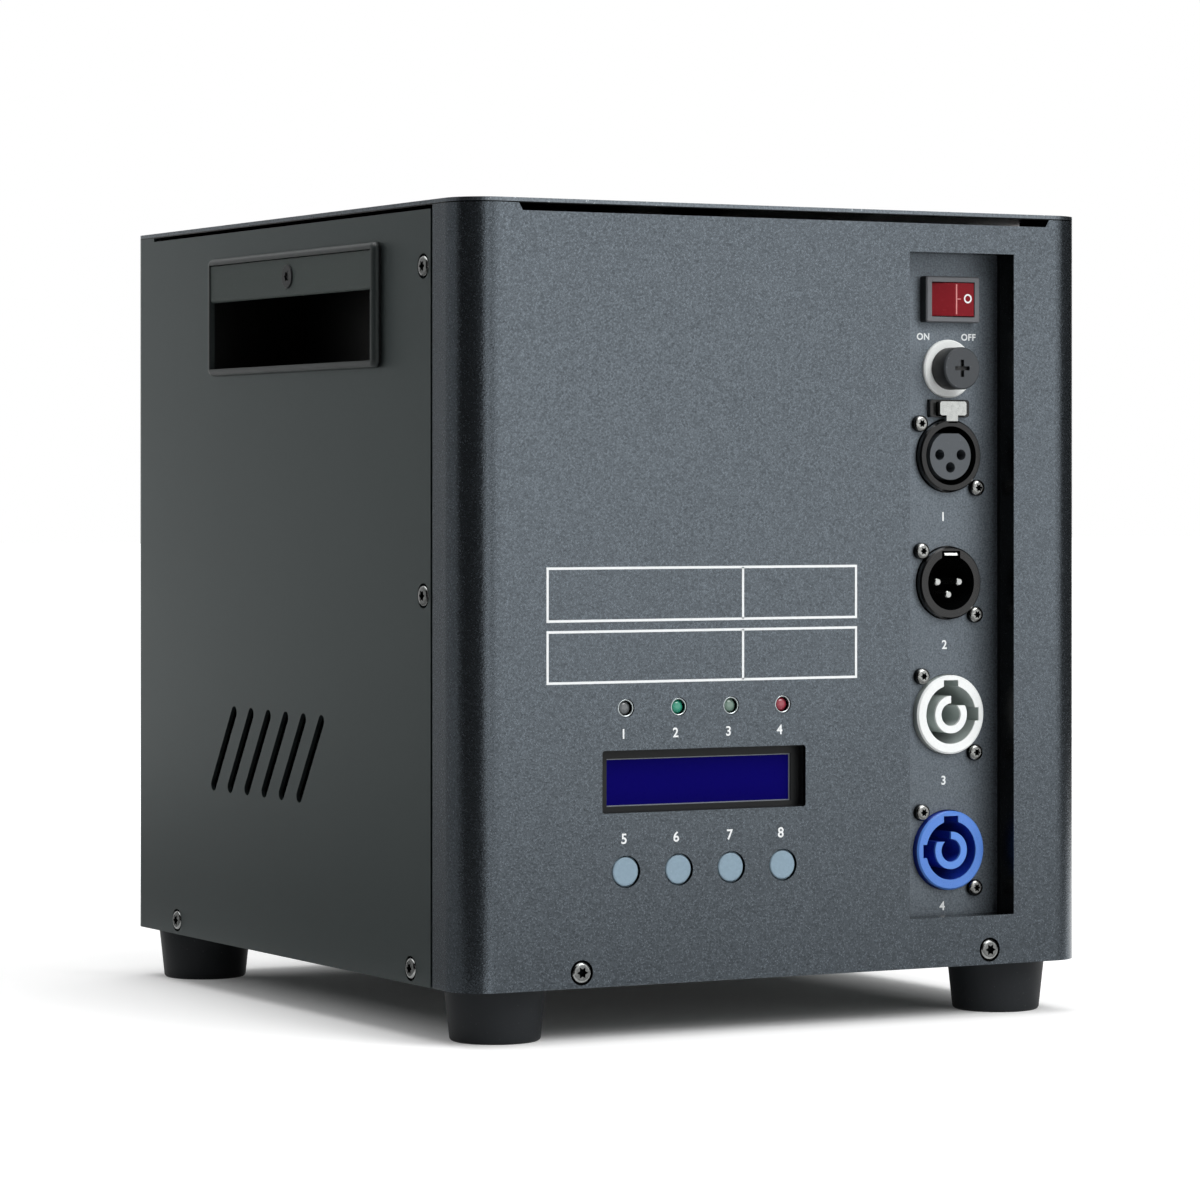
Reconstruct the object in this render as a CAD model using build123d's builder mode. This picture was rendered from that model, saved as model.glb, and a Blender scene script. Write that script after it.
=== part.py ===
"""Cold spark machine: a bench-top stage effect in a folded steel casing.

The frame has its origin on the floor under the middle of the casing. X runs to the right
along the front, Y runs from the front to the back, and Z is up. All sizes are millimetres.
Places on the front are given from the casing's left edge and from its bottom edge.
"""
from math import radians, sin, sqrt
import os

from build123d import *

os.makedirs("parts", exist_ok=True)

# Casing
CASE_W = 222.0
CASE_D = 248.0
CASE_H = 236.0
SHEET = 1.5
FRONT_BEND_R = 12.3
REAR_BEND_R = 4.0
TIGHT_BEND_R = 0.5
FIT = 0.1
RUN = 0.3

# Rubber feet
FOOT_H = 16.5
FOOT_TOP_R = 15.5
FOOT_BOTTOM_R = 13.7
FOOT_EDGE_R = 1.2
FOOT_FRONT_INSET = 21.0
FOOT_REAR_INSET_X = 18.0
FOOT_REAR_INSET_Y = 17.0
FOOT_SCREW_WELL_R = 4.6
FOOT_SCREW_WELL = 9.0

# Seams between the folded sheets
WRAP = 21.05
SEAM = 1.3
TONGUE = 15.0
TONGUE_LAP = 6.0
GAP_FRONT_X = 1.8
GAP_FRONT_W = 189.2
GAP_FRONT_H = 2.3
GAP_SLANT = 60.0
GAP_SIDE_H = 1.2
GAP_REAR_END = 15.0
EAR_W = 14.5
EAR_D = 17.0

# Floor tray
TRAY_LIP = 12.0
TRAY_SLOTS = 6

# Casing screws
SCREW_HEAD_R = 3.2
SCREW_CROWN = 1.0
SCREW_HEAD_PROUD = 0.5
SCREW_DIMPLE_R = 3.8
SCREW_SHANK_R = 1.5
SCREW_LENGTH = 6.0
SCREW_RECESS_R = 1.9
SCREW_RECESS = 1.4
SUNK_RECESS = 0.9
FRONT_SCREW_XS = (39.4, 185.0)
FRONT_SCREW_Z = 4.7
SIDE_SCREW_DEPTH = 27.3
SIDE_SCREW_UPPER_Z = 216.3
SIDE_SCREW_MIDDLE_Z = 117.3
SIDE_SCREW_LOW_FRONT = 35.9
SIDE_SCREW_LOW_REAR = 213.3
LID_SCREW_INSET = 11.0
COUNTERSINK = 90.0

# Display
DISPLAY_X = 81.95
DISPLAY_Z = 61.4
DISPLAY_W = 71.1
DISPLAY_H = 18.8
DISPLAY_CORNER_R = 0.8
SCREEN_X = 82.3
SCREEN_Z = 60.9
SCREEN_W = 64.5
SCREEN_H = 14.4
SCREEN_DEPTH = 5.0
BEZEL_WALL = 5.5
BEZEL_LEDGE = 0.9
GLASS_T = 3.0
GLASS_EDGE = 3.6

# Lamps and push buttons in one row each
ROW_PITCH = 18.3
LAMP_Z = 83.5
LAMP_R = 2.5
LAMP_HOLE_R = 2.8
LAMP_RECESS = 0.9
LAMP_RIM_R = 3.0
LAMP_RIM = 1.0
LAMP_DOME_R = 1.9
BUTTON_Z = 34.3
BUTTON_R = 4.45
BUTTON_GAP = 0.45
BUTTON_RECESS = 0.3
BUTTON_RIM_R = 5.7
BUTTON_RIM = 1.0
BUTTON_EDGE_R = 0.6
BUTTON_STEM_R = 1.8
BUTTON_TRAVEL = 0.8
KEY_SWITCH = 6.0
KEY_SWITCH_H = 2.0
BOARD_T = 1.6
BOARD_MARGIN = 8.0
BOARD_SPACER_R = 2.5
BOARD_CORNER_R = 2.0

# Recess for switch and sockets
RECESS_X = 174.7
RECESS_Z = 119.4
RECESS_W = 38.75
RECESS_H = 207.8
RECESS_FLANGE = 8.0
PLATE_DEPTH = 12.0
PLATE_LIP = 8.0
TRAY_GAP = SHEET + FIT

# Column of fittings on the recessed plate
COLUMN_X = 176.8
SWITCH_Z = 209.1
FUSE_Z = 187.3
DMX_OUT_Z = 159.9
DMX_IN_Z = 119.8
POWER_OUT_Z = 78.3
POWER_IN_Z = 35.5

# Rocker switch
SWITCH_W = 20.0
SWITCH_H = 14.5
SWITCH_PROUD = 3.7
SWITCH_CORNER_R = 0.6
SWITCH_EDGE = 0.4
SWITCH_BODY_W = 18.6
SWITCH_BODY_H = 12.6
SWITCH_BODY_D = 18.0
SWITCH_TAB_PITCH = 6.0
TERMINAL_T = 0.8
TERMINAL_W = 6.3
TERMINAL_L = 8.0
ROCKER_R = 7.7
ROCKER_H = 10.4
ROCKER_SLOPE = 9.0
ROCKER_RISE = 0.6
ROCKER_PIVOT = 2.0
ROCKER_PIN_R = 1.2
ROCKER_PIN_FIT = 0.05
ROCKER_WALL = 1.0

# Fuse holder
FUSE_RING_R = 9.2
FUSE_RING_T = 1.2
FUSE_NECK_R = 6.2
FUSE_BODY_R = 7.2
FUSE_BODY_L = 38.0
FUSE_BORE_R = 5.0
FUSE_CAP_R = 6.65
FUSE_CAP_PROUD = 8.9
FUSE_SLEEVE_L = 9.0
FUSE_SLEEVE_FIT = 0.1
FUSE_LINK_R = 2.6
FUSE_LINK_L = 20.0
FUSE_LINK_FIT = 0.06
FUSE_SLOT_W = 1.3
FUSE_SLOT_L = 5.4
FUSE_SLOT_DEPTH = 1.2
FUSE_EDGE = 0.4
FUSE_LINK_EDGE = 0.3
FUSE_TERMINAL_W = 4.8

# Sockets with a screwed flange behind the plate
FLANGE_W = 26.0
FLANGE_H = 31.0
FLANGE_T = 2.5
FLANGE_R = 2.0
SOCKET_PROUD = 2.4
SOCKET_HOLE_GAP = 0.3
SOCKET_BODY_D = 22.0
SOCKET_FLOOR = 3.0
SOCKET_EDGE = 0.5
OUT_SCREW_DX = 10.6
IN_SCREW_DX = 10.0
SIGNAL_SCREW_DZ = 10.1
POWER_SCREW_DX = 9.9
POWER_SCREW_DZ = 12.2
SOCKET_SCREW_HEAD_R = 2.65
SOCKET_SCREW_HEAD = 2.2
SOCKET_SCREW_CROWN = 1.2
SOCKET_SCREW_SHANK_R = 1.4
SOCKET_SCREW_RECESS_R = 1.35

# Signal sockets, three poles
SIGNAL_R = 11.4
OUT_BORE_R = 9.3
OUT_INSERT_R = 7.6
OUT_INSERT_FLAT = 7.0
OUT_HOLE_R = 1.7
OUT_INSERT_SET_BACK = 0.4
IN_BORE_R = 8.6
IN_PIN_R = 1.2
IN_PIN_EDGE = 0.3
IN_PIN_SET_BACK = 1.4
IN_NOTCH_W = 6.8
IN_NOTCH = 1.5
POLE_DX = 4.0
POLE_UP = 0.3
POLE_DOWN = 3.7

# Release tab over the outgoing signal socket
TAB_W = 9.8
TAB_H = 4.4
TAB_ABOVE = 14.9
TAB_PROUD = 3.7
TAB_T = 1.4
TAB_CORNER_R = 0.8
TAB_STEM_W = 4.2
TAB_STEM_END = 10.6
TAB_TRAVEL = 1.6
HUMP_W = 14.6
HUMP_H = 5.4
HUMP_PROUD = 1.7
HUMP_CORNER_R = 1.0

# Power sockets
POWER_R = 12.45
POWER_BORE_R = 9.25
POWER_CORE_R = 5.9
POWER_CORE_BORE_R = 3.6
POWER_CORE_OPEN_Z = 2.8
POWER_KEY_W = 5.4
POWER_KEY = 1.6
POWER_SIDE_KEY_W = 4.2
POWER_SIDE_KEY = 1.1

# Side handles
HANDLE_DEPTH = 119.9
HANDLE_Z = 205.8
HANDLE_W = 126.6
HANDLE_H = 38.6
HANDLE_PROUD = 2.5
HANDLE_ROUND = 1.8
HANDLE_CORNER_R = 2.6
POCKET_W = 121.8
POCKET_H = 34.1
POCKET_DEPTH = 32.0
POCKET_WALL = 1.2
POCKET_TAPER = 2.0
GRIP_H = 11.9
GRIP_T = 3.0
GRIP_EDGE_R = 1.0
GRIP_SET_BACK = 0.4
GRIP_SHELF = 12.0
GRIP_SCREW_R = 3.8
GRIP_SCREW_CROWN = 0.3
GRIP_BOSS = 9.0

# Slanted vents in each side
VENT_COUNT = 6
VENT_PITCH = 13.4
VENT_L = 33.6
VENT_W = 4.1
VENT_TILT = 34.0
VENT_DEPTH = 141.1
VENT_Z = 64.2

# Cooling fan behind the rear grille
FAN_SIZE = 80.0
FAN_D = 25.0
FAN_BORE_R = 38.0
FAN_HUB_R = 17.0
FAN_BLADES = 7
FAN_BLADE_T = 1.6
FAN_BLADE_TWIST = 32.0
FAN_STRUT_W = 5.0
FAN_STRUT_D = 4.0
FAN_TIP_GAP = 1.5
FAN_ROTOR_D = 18.0
FAN_BLADE_CHORD = 17.0
FAN_BLADE_PITCH = 50.0
FAN_SHAFT_R = 2.0
FAN_SHAFT_FIT = 0.05
FAN_HOLE_PITCH = 71.5
FAN_HOLE_R = 2.2
FAN_CORNER_R = 4.0
FAN_X = 61.0 - CASE_W / 2
FAN_Z = 84.0
GRILLE_SLOT_W = 3.6
GRILLE_PITCH = 7.2

# Spark outlet on top
SPARK_X = 0.0
SPARK_Y = -20.0
NOZZLE_R = 20.0
NOZZLE_WALL = 1.5
COLLAR_R = 37.0
COLLAR_T = 2.5
COLLAR_SCREW_R = 29.5
COLLAR_SCREWS = 6
COLLAR_HEAD_R = 2.8
COLLAR_RECESS_R = 1.6

# Granule hopper with its lid
HOPPER_Y = CASE_D / 2 - 66.0
HOPPER_W = 88.0
HOPPER_L = 44.0
HOPPER_WALL = 1.2
HOPPER_STRAIGHT = 30.0
HOPPER_FOOT_W = 15.0
HOPPER_FOOT_L = 26.0
HOPPER_RIM = 5.0
LID_LAP = 5.0
LID_T = 2.0
LID_REST = 0.2
LID_PLUG = 5.0
LID_PLUG_GAP = 1.0
LID_KNOB_R = 7.0
LID_KNOB_H = 4.0
LID_CORNER_R = 2.0
LID_EDGE_R = 1.0
HINGE_R = 2.2
HINGE_PIN_R = 1.1
HINGE_FIT = 0.05
HINGE_L = 60.0
HINGE_KNUCKLE = 20.0

# Granule feed
FEED_Z = 168.0
FEED_BORE_R = 7.6
FEED_TUBE_R = 9.0
AUGER_R = 6.7
AUGER_ROOT = 0.6
AUGER_CORE_R = 2.5
AUGER_PITCH = 14.0
AUGER_END_GAP = 8.4
AUGER_FLIGHT_T = 1.6
AUGER_SHAFT_R = 1.95
AUGER_SHAFT_FIT = 0.05
MOTOR_R = 16.0
MOTOR_L = 24.0
MOTOR_EDGE = 1.0
MOTOR_SHAFT_L = 10.0

# Heater
CHAMBER_R = 24.0
CHAMBER_H = 96.0
BAND_T = 3.0
BAND_SLIT = 6.0
BAND_MARGIN = 6.0
JACKET_R = 40.0

# Blower under the heater
BLOWER_BORE_R = 31.0
BLOWER_WHEEL_R = 27.0
BLOWER_W = 30.0
BLOWER_WALL = 2.0
BLOWER_BLADES = 20
BLOWER_BLADE_T = 1.2
BLOWER_HUB_R = 9.0
BLOWER_INLET_R = 21.0
BLOWER_SHAFT_R = 1.5
BLOWER_SHAFT_FIT = 0.05
BLOWER_OUTLET_H = 10.0
BLOWER_DUCT = 26.0
BLOWER_FLANGE_T = 3.0
BLOWER_BASE_L = 50.0
BLOWER_BASE_H = 10.0
BLOWER_MOTOR_R = 14.0
BLOWER_MOTOR_L = 13.0
BLOWER_WHEEL_RIM = 7.0
BLOWER_BLADE_TILT = 35.0

# Power supply and main board
SUPPLY_W = 52.0
SUPPLY_D = 112.0
SUPPLY_H = 34.0
SUPPLY_X = CASE_W / 2 - 33.0
SUPPLY_Y = 10.0
SUPPLY_SLOTS = 9
SUPPLY_SLOT_W = 4.0
SUPPLY_SLOT_L = 36.0
SUPPLY_SLOT_DEPTH = 1.0
MAIN_W = 110.0
MAIN_H = 70.0
MAIN_POST = 6.0
MAIN_POST_R = 3.0
MAIN_FINS = 5
MAIN_FIN_T = 1.8
MAIN_FIN_PITCH = 5.0
MAIN_CAN_R = 8.0
MAIN_CAN_H = 18.0
MAIN_Y = 10.0
MAIN_Z = 140.0

# Levels and faces that the sizes above give
FLOOR_Z = FOOT_H
TOP_Z = FOOT_H + CASE_H
WALL_H = CASE_H - SHEET
UNDER_LID_Z = TOP_Z - SHEET
SIDE_X = CASE_W / 2
FRONT_Y = -CASE_D / 2
REAR_Y = CASE_D / 2
SEAM_Y = FRONT_Y + WRAP
TRAY_INSET = SHEET + FIT / 2
TRAY_TOP_Z = FLOOR_Z + SHEET
BOARD_DEPTH = SCREEN_DEPTH + GLASS_T
PLATE_BACK = PLATE_DEPTH + SHEET
ON_BASE = (Align.CENTER, Align.CENTER, Align.MIN)
UNDER = (Align.CENTER, Align.CENTER, Align.MAX)


def save(builder, name):
    """Label a finished piece and write it."""
    builder.part.label = name
    export_step(builder.part, f"parts/{name}.step")


def front_plane(depth=0.0):
    """Plane parallel to the front, at a depth behind it, facing the viewer."""
    return Plane.XZ.offset(CASE_D / 2 - depth)


def front_spot(x, z):
    """Place on a front plane, from the casing's left and bottom edges."""
    return (x - SIDE_X, z + FLOOR_Z)


def side_plane(side, out=0.0):
    """Plane of the left (-1) or right (+1) side, facing outwards."""
    return Plane(origin=(side * (SIDE_X + out), 0, 0), x_dir=(0, side, 0), z_dir=(side, 0, 0))


def side_spot(side, depth, z):
    """Place on a side plane, from the casing's front and bottom."""
    return (side * (depth + FRONT_Y), z + FLOOR_Z)


def plan(inset=0.0):
    """Plan of the casing: wide round bends in front, tight ones behind."""
    with BuildSketch() as outline:
        Rectangle(CASE_W - 2 * inset, CASE_D - 2 * inset)
        fillet(outline.vertices().group_by(Axis.Y)[0], FRONT_BEND_R - inset)
        fillet(outline.vertices().group_by(Axis.Y)[-1], max(REAR_BEND_R - inset, TIGHT_BEND_R))
    return outline.sketch


def sheet_ring(inset):
    """Plan of one thickness of sheet that follows the casing."""
    with BuildSketch() as ring:
        add(plan(inset))
        add(plan(inset + SHEET), mode=Mode.SUBTRACT)
    return ring.sketch


def row_spots(z):
    """Four places side by side under and over the display."""
    return [front_spot(DISPLAY_X + (i - 1.5) * ROW_PITCH, z) for i in range(4)]


FRONT_SCREWS = [front_spot(x, FRONT_SCREW_Z) for x in FRONT_SCREW_XS]
LOW_SIDE_DEPTHS = (SIDE_SCREW_LOW_FRONT, SIDE_SCREW_LOW_REAR)
SEAM_SCREW_HEIGHTS = (SIDE_SCREW_MIDDLE_Z, SIDE_SCREW_UPPER_Z)
LID_SCREWS = [
    (x * (SIDE_X - LID_SCREW_INSET), y * (CASE_D / 2 - LID_SCREW_INSET))
    for x in (-1, 1)
    for y in (-1, 1)
]
FRONT_FEET = [(side * (SIDE_X - FOOT_FRONT_INSET), FRONT_Y + FOOT_FRONT_INSET) for side in (-1, 1)]
REAR_FEET = [(side * (SIDE_X - FOOT_REAR_INSET_X), REAR_Y - FOOT_REAR_INSET_Y) for side in (-1, 1)]
FEET = {
    "front_left_foot": FRONT_FEET[0],
    "front_right_foot": FRONT_FEET[1],
    "rear_left_foot": REAR_FEET[0],
    "rear_right_foot": REAR_FEET[1],
}


def side_screw_spots(side):
    """Screws along one side: two at the seam, two at the bottom."""
    seam = [side_spot(side, SIDE_SCREW_DEPTH, z) for z in SEAM_SCREW_HEIGHTS]
    return seam + [side_spot(side, depth, FRONT_SCREW_Z) for depth in LOW_SIDE_DEPTHS]


# Front casing: front sheet that wraps round both bends to the seams
with BuildPart() as front_casing:
    with BuildSketch(Plane.XY.offset(FLOOR_Z)):
        add(sheet_ring(0))
        with Locations((0, FRONT_Y + WRAP / 2)):
            Rectangle(CASE_W, WRAP, mode=Mode.INTERSECT)
    extrude(amount=WALL_H)
    # Shadow gap under the top cover
    with BuildSketch(front_plane()):
        with Locations((GAP_FRONT_X, UNDER_LID_Z - GAP_FRONT_H / 2)):
            Trapezoid(GAP_FRONT_W, GAP_FRONT_H, GAP_SLANT, rotation=180)
    extrude(amount=-2 * SHEET, mode=Mode.SUBTRACT)
    # Openings for display, lamps, buttons, sockets and screws
    with BuildSketch(front_plane()):
        with Locations(front_spot(DISPLAY_X, DISPLAY_Z)):
            RectangleRounded(DISPLAY_W, DISPLAY_H, DISPLAY_CORNER_R)
        with Locations(*row_spots(LAMP_Z)):
            Circle(LAMP_HOLE_R)
        with Locations(*row_spots(BUTTON_Z)):
            Circle(BUTTON_R + BUTTON_GAP)
        with Locations(front_spot(RECESS_X, RECESS_Z)):
            Rectangle(RECESS_W, RECESS_H)
        with Locations(*FRONT_SCREWS):
            Circle(SCREW_DIMPLE_R)
    extrude(amount=-SHEET, mode=Mode.SUBTRACT)
    # Flange folded in round the socket recess
    with BuildSketch(front_plane()):
        with Locations(front_spot(RECESS_X, RECESS_Z)):
            Rectangle(RECESS_W + 2 * SHEET, RECESS_H + 2 * SHEET)
            Rectangle(RECESS_W, RECESS_H, mode=Mode.SUBTRACT)
    extrude(amount=-RECESS_FLANGE)
    # Tongues behind the side seams, which take the seam screws
    with BuildSketch(Plane.XY.offset(FLOOR_Z + TRAY_LIP + FIT)):
        add(sheet_ring(SHEET))
        with Locations((0, SEAM_Y + (TONGUE - TONGUE_LAP) / 2)):
            Rectangle(CASE_W, TONGUE + TONGUE_LAP, mode=Mode.INTERSECT)
    extrude(amount=WALL_H - 2 * TRAY_LIP)
    for side in (-1, 1):
        with BuildSketch(side_plane(side)):
            with Locations(*[side_spot(side, SIDE_SCREW_DEPTH, z) for z in SEAM_SCREW_HEIGHTS]):
                Circle(SCREW_SHANK_R + FIT)
        extrude(amount=-3 * SHEET, mode=Mode.SUBTRACT)
    # Ears at the top corners, which carry the cover
    with BuildSketch(Plane.XY.offset(UNDER_LID_Z)):
        add(plan(SHEET))
        with Locations(*[(side * (SIDE_X - EAR_W / 2), FRONT_Y + EAR_D / 2) for side in (-1, 1)]):
            Rectangle(EAR_W, EAR_D, mode=Mode.INTERSECT)
        with Locations(*LID_SCREWS[0::2]):
            Circle(SCREW_SHANK_R + FIT, mode=Mode.SUBTRACT)
    extrude(amount=-SHEET)
save(front_casing, "front_casing")

# Rear shell: both sides and the back in one folded sheet
with BuildPart() as rear_shell:
    with BuildSketch(Plane.XY.offset(FLOOR_Z)):
        add(sheet_ring(0))
        with Locations((0, (SEAM_Y + SEAM + REAR_Y) / 2)):
            Rectangle(CASE_W, REAR_Y - SEAM_Y - SEAM, mode=Mode.INTERSECT)
    extrude(amount=WALL_H)
    # Shadow gap along both sides
    with BuildSketch(Plane.YZ.offset(-SIDE_X)):
        with Locations(((SEAM_Y + REAR_Y - GAP_REAR_END) / 2, UNDER_LID_Z - GAP_SIDE_H / 2)):
            Rectangle(REAR_Y - GAP_REAR_END - SEAM_Y, GAP_SIDE_H)
    extrude(amount=CASE_W, mode=Mode.SUBTRACT)
    # Handle openings, slanted vents and screw holes in each side
    for side in (-1, 1):
        with BuildSketch(side_plane(side)):
            with Locations(side_spot(side, HANDLE_DEPTH, HANDLE_Z)):
                Rectangle(POCKET_W + 2 * POCKET_WALL + 2 * FIT, POCKET_H + 2 * POCKET_WALL + 2 * FIT)
            vents = [VENT_DEPTH + (i - (VENT_COUNT - 1) / 2) * VENT_PITCH for i in range(VENT_COUNT)]
            with Locations(*[side_spot(side, depth, VENT_Z) for depth in vents]):
                SlotOverall(VENT_L, VENT_W, rotation=90 + side * VENT_TILT)
            with Locations(*side_screw_spots(side)):
                Circle(SCREW_DIMPLE_R)
        extrude(amount=-SHEET, mode=Mode.SUBTRACT)
    # Grille of slots in front of the cooling fan, and the rear screws
    with BuildSketch(Plane.XZ.offset(-REAR_Y)):
        with Locations((FAN_X, FAN_Z)):
            grille_rows = int(FAN_BORE_R // GRILLE_PITCH)
            for row in range(-grille_rows, grille_rows + 1):
                slot = 2 * sqrt(FAN_BORE_R**2 - (row * GRILLE_PITCH) ** 2)
                with Locations((0, row * GRILLE_PITCH)):
                    SlotOverall(max(slot, 3 * GRILLE_SLOT_W), GRILLE_SLOT_W)
        with Locations(*FRONT_SCREWS):
            Circle(SCREW_DIMPLE_R)
    extrude(amount=SHEET, mode=Mode.SUBTRACT)
    # Ears at the rear corners, which carry the cover
    with BuildSketch(Plane.XY.offset(UNDER_LID_Z)):
        add(plan(SHEET))
        with Locations(*[(side * (SIDE_X - EAR_W / 2), REAR_Y - EAR_D / 2) for side in (-1, 1)]):
            Rectangle(EAR_W, EAR_D, mode=Mode.INTERSECT)
        with Locations(*LID_SCREWS[1::2]):
            Circle(SCREW_SHANK_R + FIT, mode=Mode.SUBTRACT)
    extrude(amount=-SHEET)
save(rear_shell, "rear_shell")

# Top cover: one plate with the spark outlet and the hopper mouth
with BuildPart() as top_cover:
    with BuildSketch(Plane.XY.offset(UNDER_LID_Z)):
        add(plan())
        with Locations((SPARK_X, SPARK_Y)):
            Circle(NOZZLE_R + RUN, mode=Mode.SUBTRACT)
            with PolarLocations(COLLAR_SCREW_R, COLLAR_SCREWS):
                Circle(SCREW_SHANK_R + FIT, mode=Mode.SUBTRACT)
        with Locations((SPARK_X, HOPPER_Y)):
            Rectangle(HOPPER_W, HOPPER_L, mode=Mode.SUBTRACT)
    extrude(amount=SHEET)
    with Locations(*[(x, y, TOP_Z) for x, y in LID_SCREWS]):
        CounterSinkHole(SCREW_SHANK_R + FIT, SCREW_HEAD_R, SHEET, COUNTERSINK)
save(top_cover, "top_cover")

# Floor tray inside the casing's lower edge
with BuildPart() as floor_tray:
    with BuildSketch(Plane.XY.offset(FLOOR_Z)):
        add(plan(TRAY_INSET))
        with Locations(*FEET.values()):
            Circle(SCREW_SHANK_R + FIT, mode=Mode.SUBTRACT)
        with Locations((SPARK_X, SPARK_Y)):
            with GridLocations(0, GRILLE_PITCH, 1, TRAY_SLOTS):
                SlotOverall(2 * BLOWER_INLET_R, GRILLE_SLOT_W, mode=Mode.SUBTRACT)
    extrude(amount=SHEET)
    with BuildSketch(Plane.XY.offset(FLOOR_Z)):
        add(sheet_ring(TRAY_INSET))
    extrude(amount=TRAY_LIP)
    with BuildSketch(Plane.XZ.offset(-REAR_Y)):
        with Locations(*FRONT_SCREWS):
            Circle(SCREW_SHANK_R + FIT)
    extrude(amount=CASE_D, mode=Mode.SUBTRACT)
    with BuildSketch(Plane.YZ.offset(-SIDE_X)):
        with Locations(*[side_spot(1, depth, FRONT_SCREW_Z) for depth in LOW_SIDE_DEPTHS]):
            Circle(SCREW_SHANK_R + FIT)
    extrude(amount=CASE_W, mode=Mode.SUBTRACT)
save(floor_tray, "floor_tray")

# Four tapered rubber feet, each round a sunk screw
for name, (x, y) in FEET.items():
    with BuildPart() as foot:
        with BuildSketch():
            with Locations((x, y)):
                Circle(FOOT_BOTTOM_R)
        with BuildSketch(Plane.XY.offset(FOOT_H)):
            with Locations((x, y)):
                Circle(FOOT_TOP_R)
        loft()
        fillet(foot.edges().group_by(Axis.Z)[0], FOOT_EDGE_R)
        with Locations(Plane((x, y, 0), z_dir=(0, 0, -1))):
            CounterBoreHole(SCREW_SHANK_R + FIT, FOOT_SCREW_WELL_R, FOOT_SCREW_WELL)
    save(foot, name)


def cut_stars(plane, spots, radius, depth):
    """Star recesses for a driver: two crossed triangles at each spot."""
    with BuildSketch(plane) as stars:
        with Locations(*spots):
            RegularPolygon(radius, 3)
            RegularPolygon(radius, 3, rotation=180)
    extrude(stars.sketch, amount=-depth, mode=Mode.SUBTRACT)


def add_screws(seat, spots, head_r, head_h, crown, shank_r, shank_l, recess_r, recess):
    """Screws on a seat plane: crowned heads outwards, shanks inwards, star recesses."""
    with BuildPart(mode=Mode.PRIVATE) as screw:
        Cylinder(head_r, head_h, align=ON_BASE)
        fillet(screw.edges().group_by(Axis.Z)[-1], crown)
        Cylinder(shank_r, shank_l, align=UNDER)
    with Locations(*[seat.location * Pos(*spot) for spot in spots]):
        add(screw.part)
    cut_stars(seat.offset(head_h), spots, recess_r, recess)


def add_casing_screws(face, seat_depth, spots):
    """Casing screws seated behind an outer face, with heads a little proud of it."""
    head = seat_depth + SCREW_HEAD_PROUD
    seat = face.offset(-seat_depth)
    add_screws(
        seat,
        spots,
        SCREW_HEAD_R,
        head,
        SCREW_CROWN,
        SCREW_SHANK_R,
        SCREW_LENGTH,
        SCREW_RECESS_R,
        SCREW_RECESS,
    )


# Casing screws: round heads on the tray lip and the tongues, sunk heads in the cover
with BuildPart() as casing_screws:
    rear_face = Plane(origin=(0, REAR_Y, 0), x_dir=(-1, 0, 0), z_dir=(0, 1, 0))
    add_casing_screws(front_plane(), TRAY_INSET, FRONT_SCREWS)
    add_casing_screws(rear_face, TRAY_INSET, [(-x, z) for x, z in FRONT_SCREWS])
    for side in (-1, 1):
        spots = side_screw_spots(side)
        add_casing_screws(side_plane(side), SHEET, spots[:2])
        add_casing_screws(side_plane(side), TRAY_INSET, spots[2:])
    with Locations(*[(x, y, UNDER_LID_Z) for x, y in LID_SCREWS]):
        Cone(SCREW_HEAD_R - SHEET, SCREW_HEAD_R, SHEET, align=ON_BASE)
        Cylinder(SCREW_SHANK_R, SCREW_LENGTH, align=UNDER)
    cut_stars(Plane.XY.offset(TOP_Z), LID_SCREWS, SCREW_RECESS_R, SUNK_RECESS)
    # Up through the feet into the tray, and down through the collar into the cover
    with Locations(*[(x, y, FOOT_SCREW_WELL) for x, y in FEET.values()]):
        Cylinder(SCREW_HEAD_R, SCREW_SHANK_R, align=UNDER)
        Cylinder(SCREW_SHANK_R, FOOT_H - FOOT_SCREW_WELL + 2 * SHEET, align=ON_BASE)
    with Locations((SPARK_X, SPARK_Y, TOP_Z + COLLAR_T)):
        with PolarLocations(COLLAR_SCREW_R, COLLAR_SCREWS):
            Cylinder(COLLAR_HEAD_R, SCREW_SHANK_R, align=ON_BASE)
            Cylinder(SCREW_SHANK_R, COLLAR_T + 2 * SHEET, align=UNDER)
    outlet = Vector(SPARK_X, SPARK_Y)
    turns = [i * 360 / COLLAR_SCREWS for i in range(COLLAR_SCREWS)]
    collar_spots = [outlet + Vector(COLLAR_SCREW_R, 0).rotate(Axis.Z, turn) for turn in turns]
    cut_stars(Plane.XY.offset(TOP_Z + COLLAR_T + SCREW_SHANK_R), collar_spots, COLLAR_RECESS_R, SUNK_RECESS)
save(casing_screws, "casing_screws")


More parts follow.
